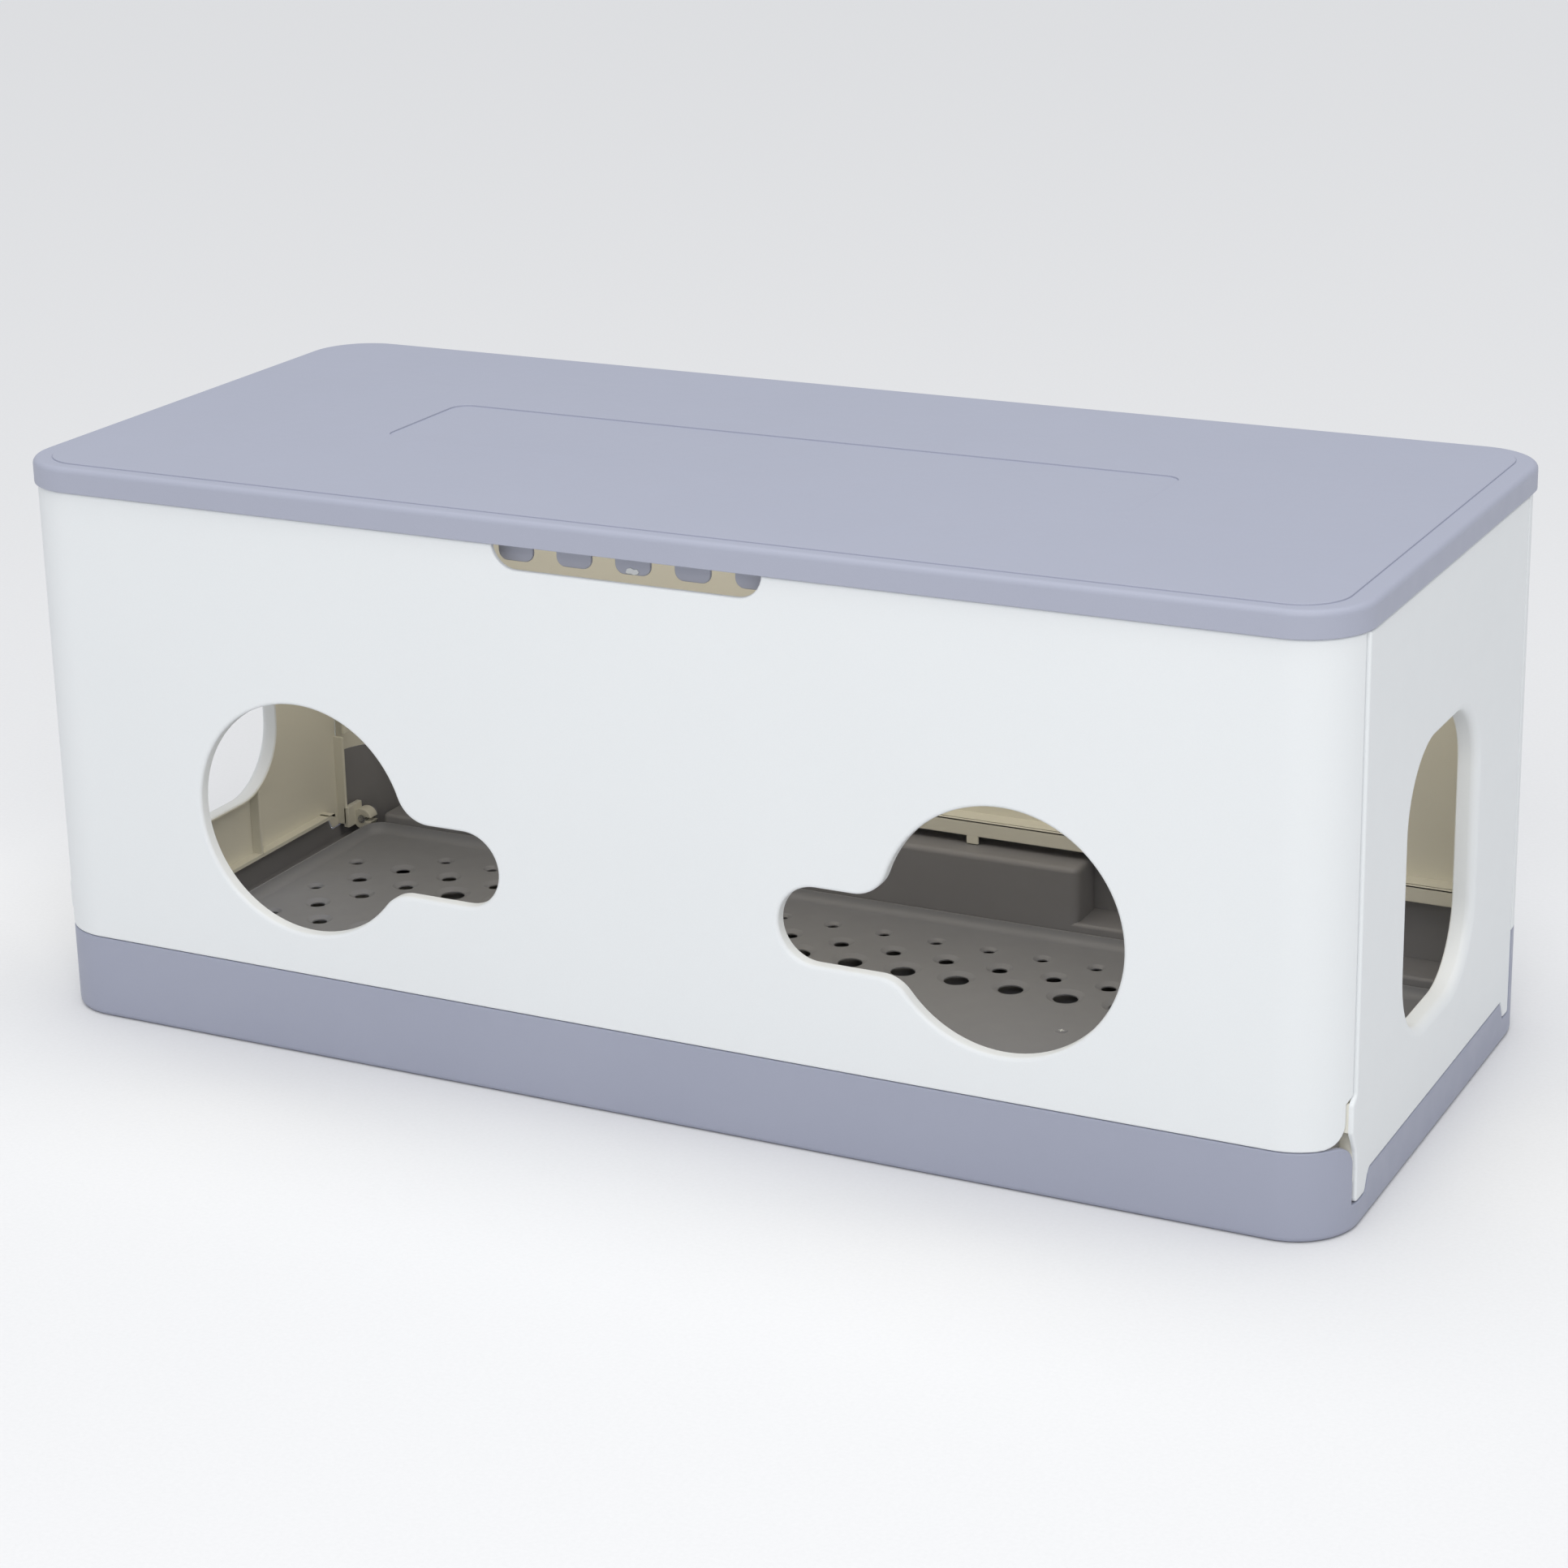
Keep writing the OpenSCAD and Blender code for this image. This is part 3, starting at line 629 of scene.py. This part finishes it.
SIDE_FLANGE = 8.0
SIDE_LIP_R = 6.0
TUNNEL_DEPTH = 11.0
ENTRANCE_L = 139.0
ENTRANCE_H = 180.0
ENTRANCE_R = 47.0
ENTRANCE_Y = -10.5
ENTRANCE_Z = 170.0
HINGE_X = 431.0
HINGE_Z = 21.0
LUG_R = 8.0
LUG_L = 10.0
LUG_YS = (FRONT_CORNER_Y - 6.2, REAR_CORNER_Y + 5.1)
SIDE_PIN_R = 3.0
RIB_YS = (-57.0, 37.0)
RIB_TOP = 79.5
STOP_LIP_TOP = 340.0
LOW_EDGE_Z = 64.0


def entrance_loop(grow):
    w = ENTRANCE_L + 2 * grow
    h = ENTRANCE_H + 2 * grow
    return rounded(w, h, ENTRANCE_R + grow, 14, ENTRANCE_Y, ENTRANCE_Z)


def side_outline():
    """Outline of a side panel in (y, z), anticlockwise, with the kind of each edge."""
    front = FRONT_SEAM_Y + 1
    rear = REAR_SEAM_Y - 1
    low = SIDE_WALL_H + 0.4
    corners = [
        (REAR_SEAM_Y - 18, low), (REAR_SEAM_Y - 11.5, FOOT_Z), (rear, FOOT_Z), (rear, PANEL_TOP),
        (front, PANEL_TOP), (front, STEP_Z + 1), (LOW_SEAM_Y + 0.8, STEP_Z - 3),
        (LOW_SEAM_Y + 0.8, LOW_EDGE_Z),
        (FRONT_SEAM_Y - 1, 58), (FRONT_SEAM_Y + 3, 50), (FRONT_SEAM_Y + 4.5, 38),
        (FRONT_SEAM_Y + 4.5, FOOT_Z), (FRONT_SEAM_Y + 20.5, FOOT_Z), (FRONT_SEAM_Y + 24.5, SIDE_WALL_H - 3),
        (FRONT_SEAM_Y + 28, low)]
    radii = [2, 2.5, 2.5, 0.8, 0.8, 3, 3, 4, 6, 8, 8, 3, 4, 3, 3]
    outline = soften(corners, radii, 4)
    kinds = []
    for p, q in zip(outline, outline[1:] + outline[:1]):
        top = min(p[1], q[1]) > PANEL_TOP - 0.1
        bottom = max(p[1], q[1]) < low + 0.1 and min(p[1], q[1]) > low - 0.1
        ends = min(p[1], q[1]) > STEP_Z and abs(p[0] - q[0]) < 0.01
        kinds.append("flange" if top or bottom or ends else "plain")
    return outline, kinds


def clip_lug(shell, side, y):
    """A C-shaped lug whose mouth faces inward."""
    mouth = 1.6
    bore = SIDE_PIN_R + 0.05
    outer_a = 180 - math.degrees(math.asin(mouth / LUG_R))
    inner_a = 180 - math.degrees(math.asin(mouth / bore))
    loop = arc(0, 0, LUG_R, -outer_a, outer_a, 30)
    loop += arc(0, 0, bore, inner_a, -inner_a, 22)
    shell.bar(loop, lambda a, b, d: (side * (HINGE_X + a), y + d, HINGE_Z + b), LUG_L, 0.5, slot=1)


def make_side_panel(side, name, node, body):
    shell = Shell()

    def place(y, z, depth):
        return (side * (HALF_W - depth), y, z)

    outline, kinds = side_outline()
    moulded_panel(shell, outline, kinds, [entrance_loop], place, edge_r=1.6, lip_r=SIDE_LIP_R,
                  flange=SIDE_FLANGE, tunnel=WALL + TUNNEL_DEPTH, slots=(0, 1))

    def block(x0, x1, y0, y1, z0, z1, r=1.0):
        a, b = sorted((side * x0, side * x1))
        shell.soft_box(a, b, y0, y1, z0, z1, r, 1)

    skin = HALF_W - WALL
    deep = skin - SIDE_FLANGE
    front_edge = FRONT_SEAM_Y + 1
    rear_edge = REAR_SEAM_Y - 1
    low = SIDE_WALL_H + 1
    # Lips that stop behind the front and rear panels
    block(deep - FLANGE_T, deep + 0.5, FRONT_SEAM_Y - 6, front_edge + FLANGE_T, STEP_Z + 5, STOP_LIP_TOP)
    block(deep - FLANGE_T, deep + 0.5, rear_edge - FLANGE_T, REAR_Y - 36.4, STEP_Z + 5, STOP_LIP_TOP)
    # Upright returns low down, and two ribs under the entrance
    block(deep, skin + 0.5, rear_edge - FLANGE_T, rear_edge - 0.1, FOOT_Z + 1, STEP_Z + 2)
    block(deep, skin + 0.5, front_edge + 2, front_edge + 2 + FLANGE_T, low, STEP_Z + 2)
    block(deep, skin + 0.5, LOW_SEAM_Y + 1, LOW_SEAM_Y + 1 + FLANGE_T, LOW_EDGE_Z, STEP_Z - 3, 0.6)
    for y in RIB_YS:
        block(deep, skin + 0.5, y - FLANGE_T / 2, y + FLANGE_T / 2, low, RIB_TOP)
    # Hinge lugs and the webs that join them to the skin
    for y in LUG_YS:
        clip_lug(shell, side, y)
    block(HINGE_X + 4, skin + 0.5, LUG_YS[0], LUG_YS[0] + LUG_L, HINGE_Z - 3, HINGE_Z + 11)
    block(HINGE_X + 5.4, HINGE_X + 10, rear_edge - FLANGE_T, LUG_YS[1] + LUG_L, HINGE_Z - 5, HINGE_Z + 11)
    piece = shell.build(name, [WHITE, WHITE_INSIDE_PAINTED_SHADE])
    even_shading(piece)
    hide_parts(node)
    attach(piece, body)
    return piece


# ---------- base tray ----------

LEDGE_Y = REAR_Y - 35.9
LEDGE_HALF_W = 147.0
LOW_LEDGE_HALF_W = 412.0
LEDGE_H = 67.0
LOW_LEDGE_H = 28.0


def tray_top():
    """The wall's top edge over the right half, as (u, z) from the middle of the front to the back."""
    end_r = 14.0
    end_y = FRONT_SEAM_Y + 1.5
    top = [(along_side(y), z) for y, z in arc(end_y - end_r, FRONT_WALL_H - end_r, end_r, 90, 0, 8)]
    notch = soften([(end_y - 20, 0), (end_y, NOTCH_Z + 8), (end_y, NOTCH_Z), (FRONT_SEAM_Y + 22.5, NOTCH_Z),
                    (FRONT_SEAM_Y + 26, SIDE_WALL_H - 3), (FRONT_SEAM_Y + 29, SIDE_WALL_H),
                    (REAR_SEAM_Y - 18.5, SIDE_WALL_H), (REAR_SEAM_Y - 12.5, NOTCH_Z),
                    (REAR_SEAM_Y, NOTCH_Z), (REAR_SEAM_Y, REAR_WALL_H), (REAR_SEAM_Y, 200)],
                   [0, 0, 1.5, 2.5, 3, 3, 2, 2, 1.5, 0, 0], 3)
    top += [(along_side(y), z) for y, z in notch[2:-2]]
    run = 2 * (FLAT + ARC) + REAR_CORNER_Y - FRONT_CORNER_Y
    top.append((along_side(REAR_SEAM_Y), REAR_WALL_H))
    top.append((run, REAR_WALL_H))
    return top


def ledge(shell, x0, x1, z, r):
    """A ledge that stands on the tray's floor and runs into its rear wall."""
    y1 = REAR_Y - WALL / 2
    loop = rounded(x1 - x0, y1 - LEDGE_Y, r + 1.5, 5, (x0 + x1) / 2, (LEDGE_Y + y1) / 2)
    rings = [[(x, y, WALL - 0.5) for x, y in loop]]
    for gap, deep in reversed(fillet(r, 5)):
        rings.append([(x, y, z - deep) for x, y in inset(loop, gap)])
    shell.loft(rings, 1)
    shell.fill(inset(loop, r), [], lambda x, y: (x, y, z), slot=1)


def fold_cheek(shell, x, y, z, wall_y):
    """One of the two ears that hold a fold pin against a long wall."""
    toward = -1 if wall_y < y else 1
    loop = arc(0, 0, FOLD_RING_R, -90, 90, 10)
    foot = abs(wall_y - y) + 0.5
    loop += [(-foot, FOLD_RING_R), (-foot, -FOLD_RING_R)]
    shell.bar(loop, lambda a, b, d: (x + d, y - toward * a, z + b), FOLD_CHEEK_L, 0.6, slot=1)


def make_base_tray():
    shell = Shell()
    foot_r = 4.0
    cove_r = 5.0
    right = tray_top()
    outline = [(-BODY_HALF, foot_r), (BODY_HALF, foot_r)] + [(u, z) for u, z in reversed(right)]
    outline += [(-u, z) for u, z in right]
    kinds = ["open", "open"] + ["plain"] * (2 * len(right) - 1) + ["open"]
    outline, kinds = split_at(outline, kinds, BODY_PLACES)
    moulded_panel(shell, outline, kinds, [], on_body, upright_lines(BODY_PLACES), edge_r=1.0, slots=(0, 1))

    places = BODY_PLACES + [BODY_HALF]

    def ring(depth, z):
        return [on_body(u, z, depth) for u in places]

    shell.loft([ring(deep, gap) for gap, deep in fillet(foot_r, 5)], 0)
    cove = [ring(WALL, foot_r)]
    cove += [ring(WALL + deep, WALL + gap) for gap, deep in fillet(cove_r, 5)]
    shell.loft(cove, 1)
    under = [p[:2] for p in ring(foot_r, 0)]
    floor_loop = [p[:2] for p in ring(WALL + cove_r, WALL)]
    hollow_y = (LEDGE_Y + WALL, REAR_Y - 8)
    hollows = [(WALL - LEDGE_HALF_W, LEDGE_HALF_W - WALL, LEDGE_H - WALL),
               (LEDGE_HALF_W, LOW_LEDGE_HALF_W - WALL, LOW_LEDGE_H - WALL),
               (WALL - LOW_LEDGE_HALF_W, -LEDGE_HALF_W, LOW_LEDGE_H - WALL)]
    mouths = [rounded(x1 - x0, hollow_y[1] - hollow_y[0], 2.0, 4, (x0 + x1) / 2, sum(hollow_y) / 2)
              for x0, x1, _ in hollows]
    shell.fill(under, mouths, lambda x, y: (x, y, 0), slot=0)
    for mouth, (_, _, z) in zip(mouths, hollows):
        shell.loft([[(x, y, 0) for x, y in mouth], [(x, y, z) for x, y in mouth]], 1)
        shell.fill(mouth, [], lambda x, y: (x, y, z), slot=1)
    shell.fill(floor_loop, [inset(mouth, -0.5) for mouth in mouths], lambda x, y: (x, y, WALL), slot=1)

    ledge(shell, LEDGE_HALF_W - 9.5, LOW_LEDGE_HALF_W, LOW_LEDGE_H, 2.5)
    ledge(shell, -LOW_LEDGE_HALF_W, 9.5 - LEDGE_HALF_W, LOW_LEDGE_H, 2.5)
    ledge(shell, -LEDGE_HALF_W, LEDGE_HALF_W, LEDGE_H, 4.0)
    for k in (-1, 0, 1):
        for s in (-1, 1):
            x = k * FOLD_HINGE_X + s * (FOLD_LUG_L / 2 + 0.5 + FOLD_CHEEK_L / 2) - FOLD_CHEEK_L / 2
            fold_cheek(shell, x, *FRONT_FOLD, FRONT_Y + WALL)
            if k:
                fold_cheek(shell, x, *REAR_FOLD, REAR_Y - WALL)
    cheek_r = 5.0
    cheek_l = 5.1
    gap = 0.4
    for side in (-1, 1):
        for y0 in (LUG_YS[0] - cheek_l - gap, LUG_YS[0] + LUG_L + gap, LUG_YS[1] + LUG_L + gap):
            loop = arc(0, 0, cheek_r, 0, 180, 12) + [(-cheek_r, 2.5 - HINGE_Z), (cheek_r, 2.5 - HINGE_Z)]
            shell.bar(loop, lambda a, b, d: (side * HINGE_X + a, y0 + d, HINGE_Z + b), cheek_l, 0.5, slot=1)
    piece = shell.build("base_tray_skin", [GREY, GREY_INSIDE_PAINTED_SHADE])
    even_shading(piece)
    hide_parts("base_tray")
    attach(piece, "base")
    return piece


# ---------- sieve plate ----------

SIEVE_HALF_W = sieve_high.x
SIEVE_CY = (sieve_low.y + sieve_high.y) / 2
SIEVE_D = sieve_high.y - sieve_low.y
SIEVE_RIM_Z = sieve_high.z
SIEVE_TOP = SIEVE_RIM_Z - 7.0
SIEVE_T = 3.0
HOLE_PITCH_X = 39.3
HOLE_PITCH_Y = 27.2
ROWS = 11
COLUMNS = 20
FIRST_ROW_Y = LEDGE_Y - 38
HOLE_R = (4.0, 5.2, 8.5)
SINK_R = (6.3, 9.0, 12.75)


def holes_of_sieve():
    """Centres and size steps of the holes: three rings of growing holes round a plain middle."""
    found = []
    for i in range(-COLUMNS, COLUMNS + 1):
        for j in range(ROWS):
            ring = min(COLUMNS - abs(i), j, ROWS - 1 - j)
            on_corner = abs(i) == COLUMNS - 1 and j in (0, ROWS - 1)
            if (i + j) % 2 and not on_corner and (ring < 3 or (abs(i) == 16 and j % 2 == 1)):
                size = min((COLUMNS - abs(i) + 2) // 3, j, ROWS - 1 - j, 2)
                found.append((i * HOLE_PITCH_X / 2, FIRST_ROW_Y - j * HOLE_PITCH_Y, size))
    return found


def small_boss(shell, x, y):
    """A low round boss with a painted glint: a thin white star laid in its dished top."""
    profile = ((4.0, -0.3), (4.0, 0.25), (3.85, 0.4), (3.2, 0.4), (2.9, 0.15))
    shell.loft([[(a, b, SIEVE_TOP + z) for a, b in circle(x, y, r, 24)] for r, z in profile], 0)
    dish_r, dish_z = profile[-1]
    shell.fill(circle(x, y, dish_r, 24), [], lambda a, b: (a, b, SIEVE_TOP + dish_z), slot=0)
    # Painted highlight: the white star stands for a glint on the boss
    star = ((-2.2, -0.4), (-0.5, -0.5), (-0.2, -2.4), (0.5, -0.4),
            (2.0, 0.2), (0.4, 0.5), (-0.3, 2.1), (-0.6, 0.4))
    painted_glint = [(x + a, y + b) for a, b in star]
    painted_glint_z = SIEVE_TOP + 0.38
    shell.loft([[(a, b, z) for a, b in painted_glint] for z in (SIEVE_TOP + 0.1, painted_glint_z)], 1)
    shell.fill(painted_glint, [], lambda a, b: (a, b, painted_glint_z), slot=1)


def make_sieve():
    shell = Shell()

    def edge(gap, z):
        r = max(2.0, 14.0 - gap)
        loop = rounded(2 * (SIEVE_HALF_W - gap), SIEVE_D - 2 * gap, r, 8, 0, SIEVE_CY)
        return [(x, y, z) for x, y in loop]

    rim_t = 1.4
    rim_r = 0.6
    cove_r = SIEVE_RIM_Z - SIEVE_TOP - 0.1
    foot_z = WALL + 0.1
    rings = [edge(rim_t, foot_z), edge(0.3, foot_z), edge(0, foot_z + 0.3)]
    rings += [edge(deep, SIEVE_RIM_Z - gap) for gap, deep in fillet(rim_r, 4)]
    rings += [edge(rim_t - gap, SIEVE_RIM_Z - deep) for gap, deep in fillet(rim_r, 4)]
    rings += [edge(rim_t + deep, SIEVE_TOP + gap) for gap, deep in fillet(cove_r, 4)]
    shell.loft(rings, 0)
    shell.loft([edge(rim_t, foot_z), edge(rim_t, SIEVE_TOP - SIEVE_T)], 0)

    top = []
    bottom = []
    for x, y, size in holes_of_sieve():
        sink = SINK_R[size]
        bore = HOLE_R[size]
        steps = (16, 18, 22)[size]
        profile = [(sink + 0.7, 0), (sink, 0.12), (sink - 0.6, 0.5), (bore + 0.35, 1.75), (bore, 2.15),
                   (bore, SIEVE_T)]
        rings = [(circle(x, y, r, steps), SIEVE_TOP - deep) for r, deep in profile]
        top.append(rings[0][0])
        bottom.append(rings[-1][0])
        shell.loft([[(a, b, z) for a, b in loop] for loop, z in rings], 0)
    floor_edge = [p[:2] for p in edge(rim_t + cove_r, 0)]
    under_edge = [p[:2] for p in edge(rim_t, 0)]
    shell.fill(floor_edge, top, lambda x, y: (x, y, SIEVE_TOP), slot=0)
    shell.fill(under_edge, bottom, lambda x, y: (x, y, SIEVE_TOP - SIEVE_T), slot=0)
    for s in (-1, 1):
        small_boss(shell, s * 5 * HOLE_PITCH_X, FIRST_ROW_Y - 4 * HOLE_PITCH_Y)
    piece = shell.build("sieve_skin", [GREY_SIEVE_PAINTED_SHADE, WHITE])
    even_shading(piece)
    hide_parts("sieve_plate")
    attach(piece, "sieve")
    return piece


# ---------- lid ----------

LID_W = lid_high.x - lid_low.x
LID_D = lid_high.y - lid_low.y
LID_R = 42.5
LID_EDGE_R = 4.0
TOP_Z = lid_high.z
EDGE_Z = TOP_Z - 0.8
EDGE_H = 16.5
RIM_Z = EDGE_Z - EDGE_H
PLATE_Z = EDGE_Z - WALL
LID_HINGE_Y = REAR_Y + 3.1
LID_HINGE_Z = RIM_Z + 2
LID_PIN_R = 1.6
LID_RING_R = 3.2
LID_LUG_L = 20.0
LID_GAP = 2.0
LID_CHEEK_L = 12.0
TAB_PITCH = 40.2
TAB_W = 24.0


def lid_skirt_outline(half):
    """The skirt laid flat, anticlockwise: its bottom edge steps up at the three hinges."""
    notch = LID_LUG_L / 2 + LID_GAP
    step = 7.0
    side = half - FOLD_HINGE_X
    right = [(side - notch, RIM_Z), (side - notch, RIM_Z + step), (side + notch, RIM_Z + step),
             (side + notch, RIM_Z), (half - notch, RIM_Z), (half - notch, RIM_Z + step)]
    right.append((half, RIM_Z + step))
    bottom = [(-u, z) for u, z in reversed(right)] + right
    outline = bottom + [(half, EDGE_Z - LID_EDGE_R), (-half, EDGE_Z - LID_EDGE_R)]
    kinds = ["plain"] * (len(bottom) - 1) + ["open"] * 3
    return outline, kinds


def make_lid():
    shell = Shell()
    place, places, half = around(LID_W, LID_D, LID_R, 0.0)
    outline, kinds = lid_skirt_outline(half)
    outline, kinds = split_at(outline, kinds, places)
    moulded_panel(shell, outline, kinds, [], place, upright_lines(places), edge_r=0.7, slots=(0, 1))
    places = places + [half]

    def ring(depth, z):
        return [place(u, z, depth) for u in places]

    shell.loft([ring(deep, EDGE_Z - gap) for gap, deep in fillet(LID_EDGE_R, 6)], 0)
    shell.loft([ring(WALL, EDGE_Z - LID_EDGE_R), ring(WALL, PLATE_Z)], 1)
    shell.fill([p[:2] for p in ring(WALL, 0)], [], lambda x, y: (x, y, PLATE_Z), slot=1)

    # The top face: a low plateau inside a fine groove, with a shallow recess in its middle
    border = [p[:2] for p in ring(LID_EDGE_R, 0)]
    plateau = rounded(LID_W - 29, LID_D - 20, 30, 12)
    recess = rounded(520, 96, 12, 8)
    drop = 1.0
    groove = 0.2
    shell.fill(border, [inset(plateau, -0.5)], lambda x, y: (x, y, EDGE_Z), slot=0)
    rings = [(-0.5, EDGE_Z), (-0.35, EDGE_Z - groove), (0.0, EDGE_Z - groove), (0.05, TOP_Z - 0.35),
             (0.2, TOP_Z - 0.1), (0.45, TOP_Z)]
    shell.loft([[(x, y, z) for x, y in inset(plateau, gap)] for gap, z in rings], 0)
    shell.fill(inset(plateau, rings[-1][0]), [inset(recess, -0.4)], lambda x, y: (x, y, TOP_Z), slot=0)
    rings = [(-0.4, TOP_Z), (-0.15, TOP_Z - 0.08), (0.0, TOP_Z - 0.3), (0.0, TOP_Z - drop)]
    shell.loft([[(x, y, z) for x, y in inset(recess, gap)] for gap, z in rings], 0)
    shell.fill(recess, [], lambda x, y: (x, y, TOP_Z - drop), slot=0)

    rib_foot = PLATE_Z - 6
    rib_top = PLATE_Z + 0.5
    for k in (-1, 0, 1):
        y = k * 110
        shell.soft_box(-400, 400, y - 1, y + 1, rib_foot, rib_top, 0.8, 1)
    for k in range(-2, 3):
        x = k * 150
        shell.soft_box(x - 1, x + 1, -160, 160, rib_foot, rib_top, 0.8, 1)
        hook_tab(shell, k * TAB_PITCH)
    for k in (-1, 0, 1):
        for s in (-1, 1):
            x0 = k * FOLD_HINGE_X + s * (LID_LUG_L / 2 + LID_GAP + LID_CHEEK_L / 2) - LID_CHEEK_L / 2
            loop = arc(0, 0, LID_RING_R, 180, 360, 12)
            loop += [(LID_RING_R, PLATE_Z - LID_HINGE_Z + 0.5), (-LID_RING_R, PLATE_Z - LID_HINGE_Z + 0.5)]
            hole = circle(0, 0, LID_PIN_R + 0.2, 24)
            shell.bar(loop, lambda a, b, d: (x0 + d, LID_HINGE_Y + a, LID_HINGE_Z + b), LID_CHEEK_L, 0.4,
                      slot=1, holes=[hole])
    piece = shell.build("lid_skin", [GREY_LID, GREY, WHITE, GREY_TABS_PAINTED_LIGHT])
    even_shading(piece)
    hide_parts("lid")
    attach(piece, "lid")
    return piece


def hook_tab(shell, x):
    """A tongue with round lower corners behind the finger slot."""
    r = 6.0
    low = PANEL_TOP - 13.0
    high = PLATE_Z + 0.5
    y = FRONT_Y + WALL + 7.0 + 1.2
    loop = [(TAB_W / 2, high), (-TAB_W / 2, high)] + arc(r - TAB_W / 2, low + r, r, 180, 270, 6)
    loop += arc(TAB_W / 2 - r, low + r, r, 270, 360, 6)
    # Slot 3 is the lighter grey that paints light on to the tabs
    shell.bar(loop, lambda a, b, d: (x + a, y + d, b), FLANGE_T, 0.7, slot=3)
    if x == 0:
        gate_mark = [(-4.6, 1.2), (-3.0, 0.4), (-0.8, 0.7), (1.2, 0.0), (3.5, 0.7), (4.5, 2.2), (3.2, 3.9),
                     (1.1, 3.4), (-0.9, 4.4), (-3.5, 3.6)]
        mark_z = low + 0.3
        shell.bar(gate_mark, lambda a, b, d: (a, y - 0.7 + d, mark_z + b), 1.0, 0.25, slot=2)


# ---------- camera, floor and light ----------

def place_camera():
    azimuth = math.radians(26.88)
    elevation = math.radians(17.88)
    roll = math.radians(-1.14)
    back = Vector((math.sin(azimuth) * math.cos(elevation), -math.cos(azimuth) * math.cos(elevation),
                   math.sin(elevation)))
    level = (-back).cross(Vector((0, 0, 1))).normalized()
    upright = level.cross(-back)
    right = level * math.cos(roll) + upright * math.sin(roll)
    up = upright * math.cos(roll) - level * math.sin(roll)
    data = bpy.data.cameras.new("camera")
    data.lens = 84.19
    data.sensor_width = 36.0
    data.shift_x = -0.0049
    data.shift_y = -0.0541
    camera = bpy.data.objects.new("camera", data)
    eye = Matrix.Translation((1.02955, -2.00935, 0.94440))
    camera.matrix_world = eye @ Matrix((right, up, back)).transposed().to_4x4()
    bpy.context.scene.collection.objects.link(camera)
    bpy.context.scene.camera = camera


def softbox(name, place, target, width, height, power, colour):
    data = bpy.data.lights.new(name, "AREA")
    data.shape = "RECTANGLE"
    data.size = width
    data.size_y = height
    data.energy = power
    data.color = colour
    light = bpy.data.objects.new(name, data)
    light.location = place
    light.rotation_euler = (Vector(target) - Vector(place)).to_track_quat("-Z", "Y").to_euler()
    bpy.context.scene.collection.objects.link(light)
    return light


def make_floor():
    reach = 40.0
    mesh = bpy.data.meshes.new("studio_floor")
    corners = [(-reach, -reach, 0), (reach, -reach, 0), (reach, reach, 0), (-reach, reach, 0)]
    mesh.from_pydata(corners, [], [(0, 1, 2, 3)])
    floor = bpy.data.objects.new("studio_floor", mesh)
    bpy.context.scene.collection.objects.link(floor)
    mat, tree, shader = new_material("floor_paper")
    coords = tree.nodes.new("ShaderNodeTexCoord").outputs["Object"]
    fibres = ranged(tree, noise(tree, coords, 400.0, 3.0), 0.3, 0.7, 0.0, 1.0)
    paper = mixed(tree, fibres, (0.79, 0.79, 0.795), (0.81, 0.81, 0.815))
    tree.links.new(paper, shader.inputs["Base Color"])
    shader.inputs["Roughness"].default_value = 0.9
    shader.inputs["Specular IOR Level"].default_value = 0.1
    mesh.materials.append(mat)


def light_studio():
    scene = bpy.context.scene
    scene.view_settings.view_transform = "Standard"
    scene.view_settings.look = "None"
    world = bpy.data.worlds.new("studio")
    world.use_nodes = True
    sky = world.node_tree.nodes["Background"]
    sky.inputs["Color"].default_value = (0.965, 0.98, 1.0, 1.0)
    sky.inputs["Strength"].default_value = 0.45
    scene.world = world
    softbox("key", (1.2, -2.8, 2.5), (0, 0, 0.15), 2.2, 1.6, 46.0, (1.0, 0.99, 0.975))
    above = bpy.data.lights.new("overhead", "SUN")
    above.energy = 1.5
    above.angle = math.radians(60)
    above.color = (0.97, 0.98, 1.0)
    light = bpy.data.objects.new("overhead", above)
    light.location = (0, 0, 3)
    bpy.context.scene.collection.objects.link(light)
    # The white walls glow a little with the light behind them: a soft warm light inside the cabin
    glow = softbox("cabin_glow", (0, 0.03, 0.34), (0, 0.03, 0), 0.80, 0.20, 0.72, (1.0, 0.92, 0.76))
    glow.visible_camera = False


# ---------- assembly ----------

make_front_panel()
make_rear_panel()
make_side_panel(1, "right_side_skin", "right_side_panel", "right_side")
make_side_panel(-1, "left_side_skin", "left_side_panel", "left_side")
make_base_tray()
make_sieve()
make_lid()
for name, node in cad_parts.items():
    if "pin" in name.split("_"):
        node.data.materials.clear()
        node.data.materials.append(STEEL)

place_camera()
make_floor()
light_studio()
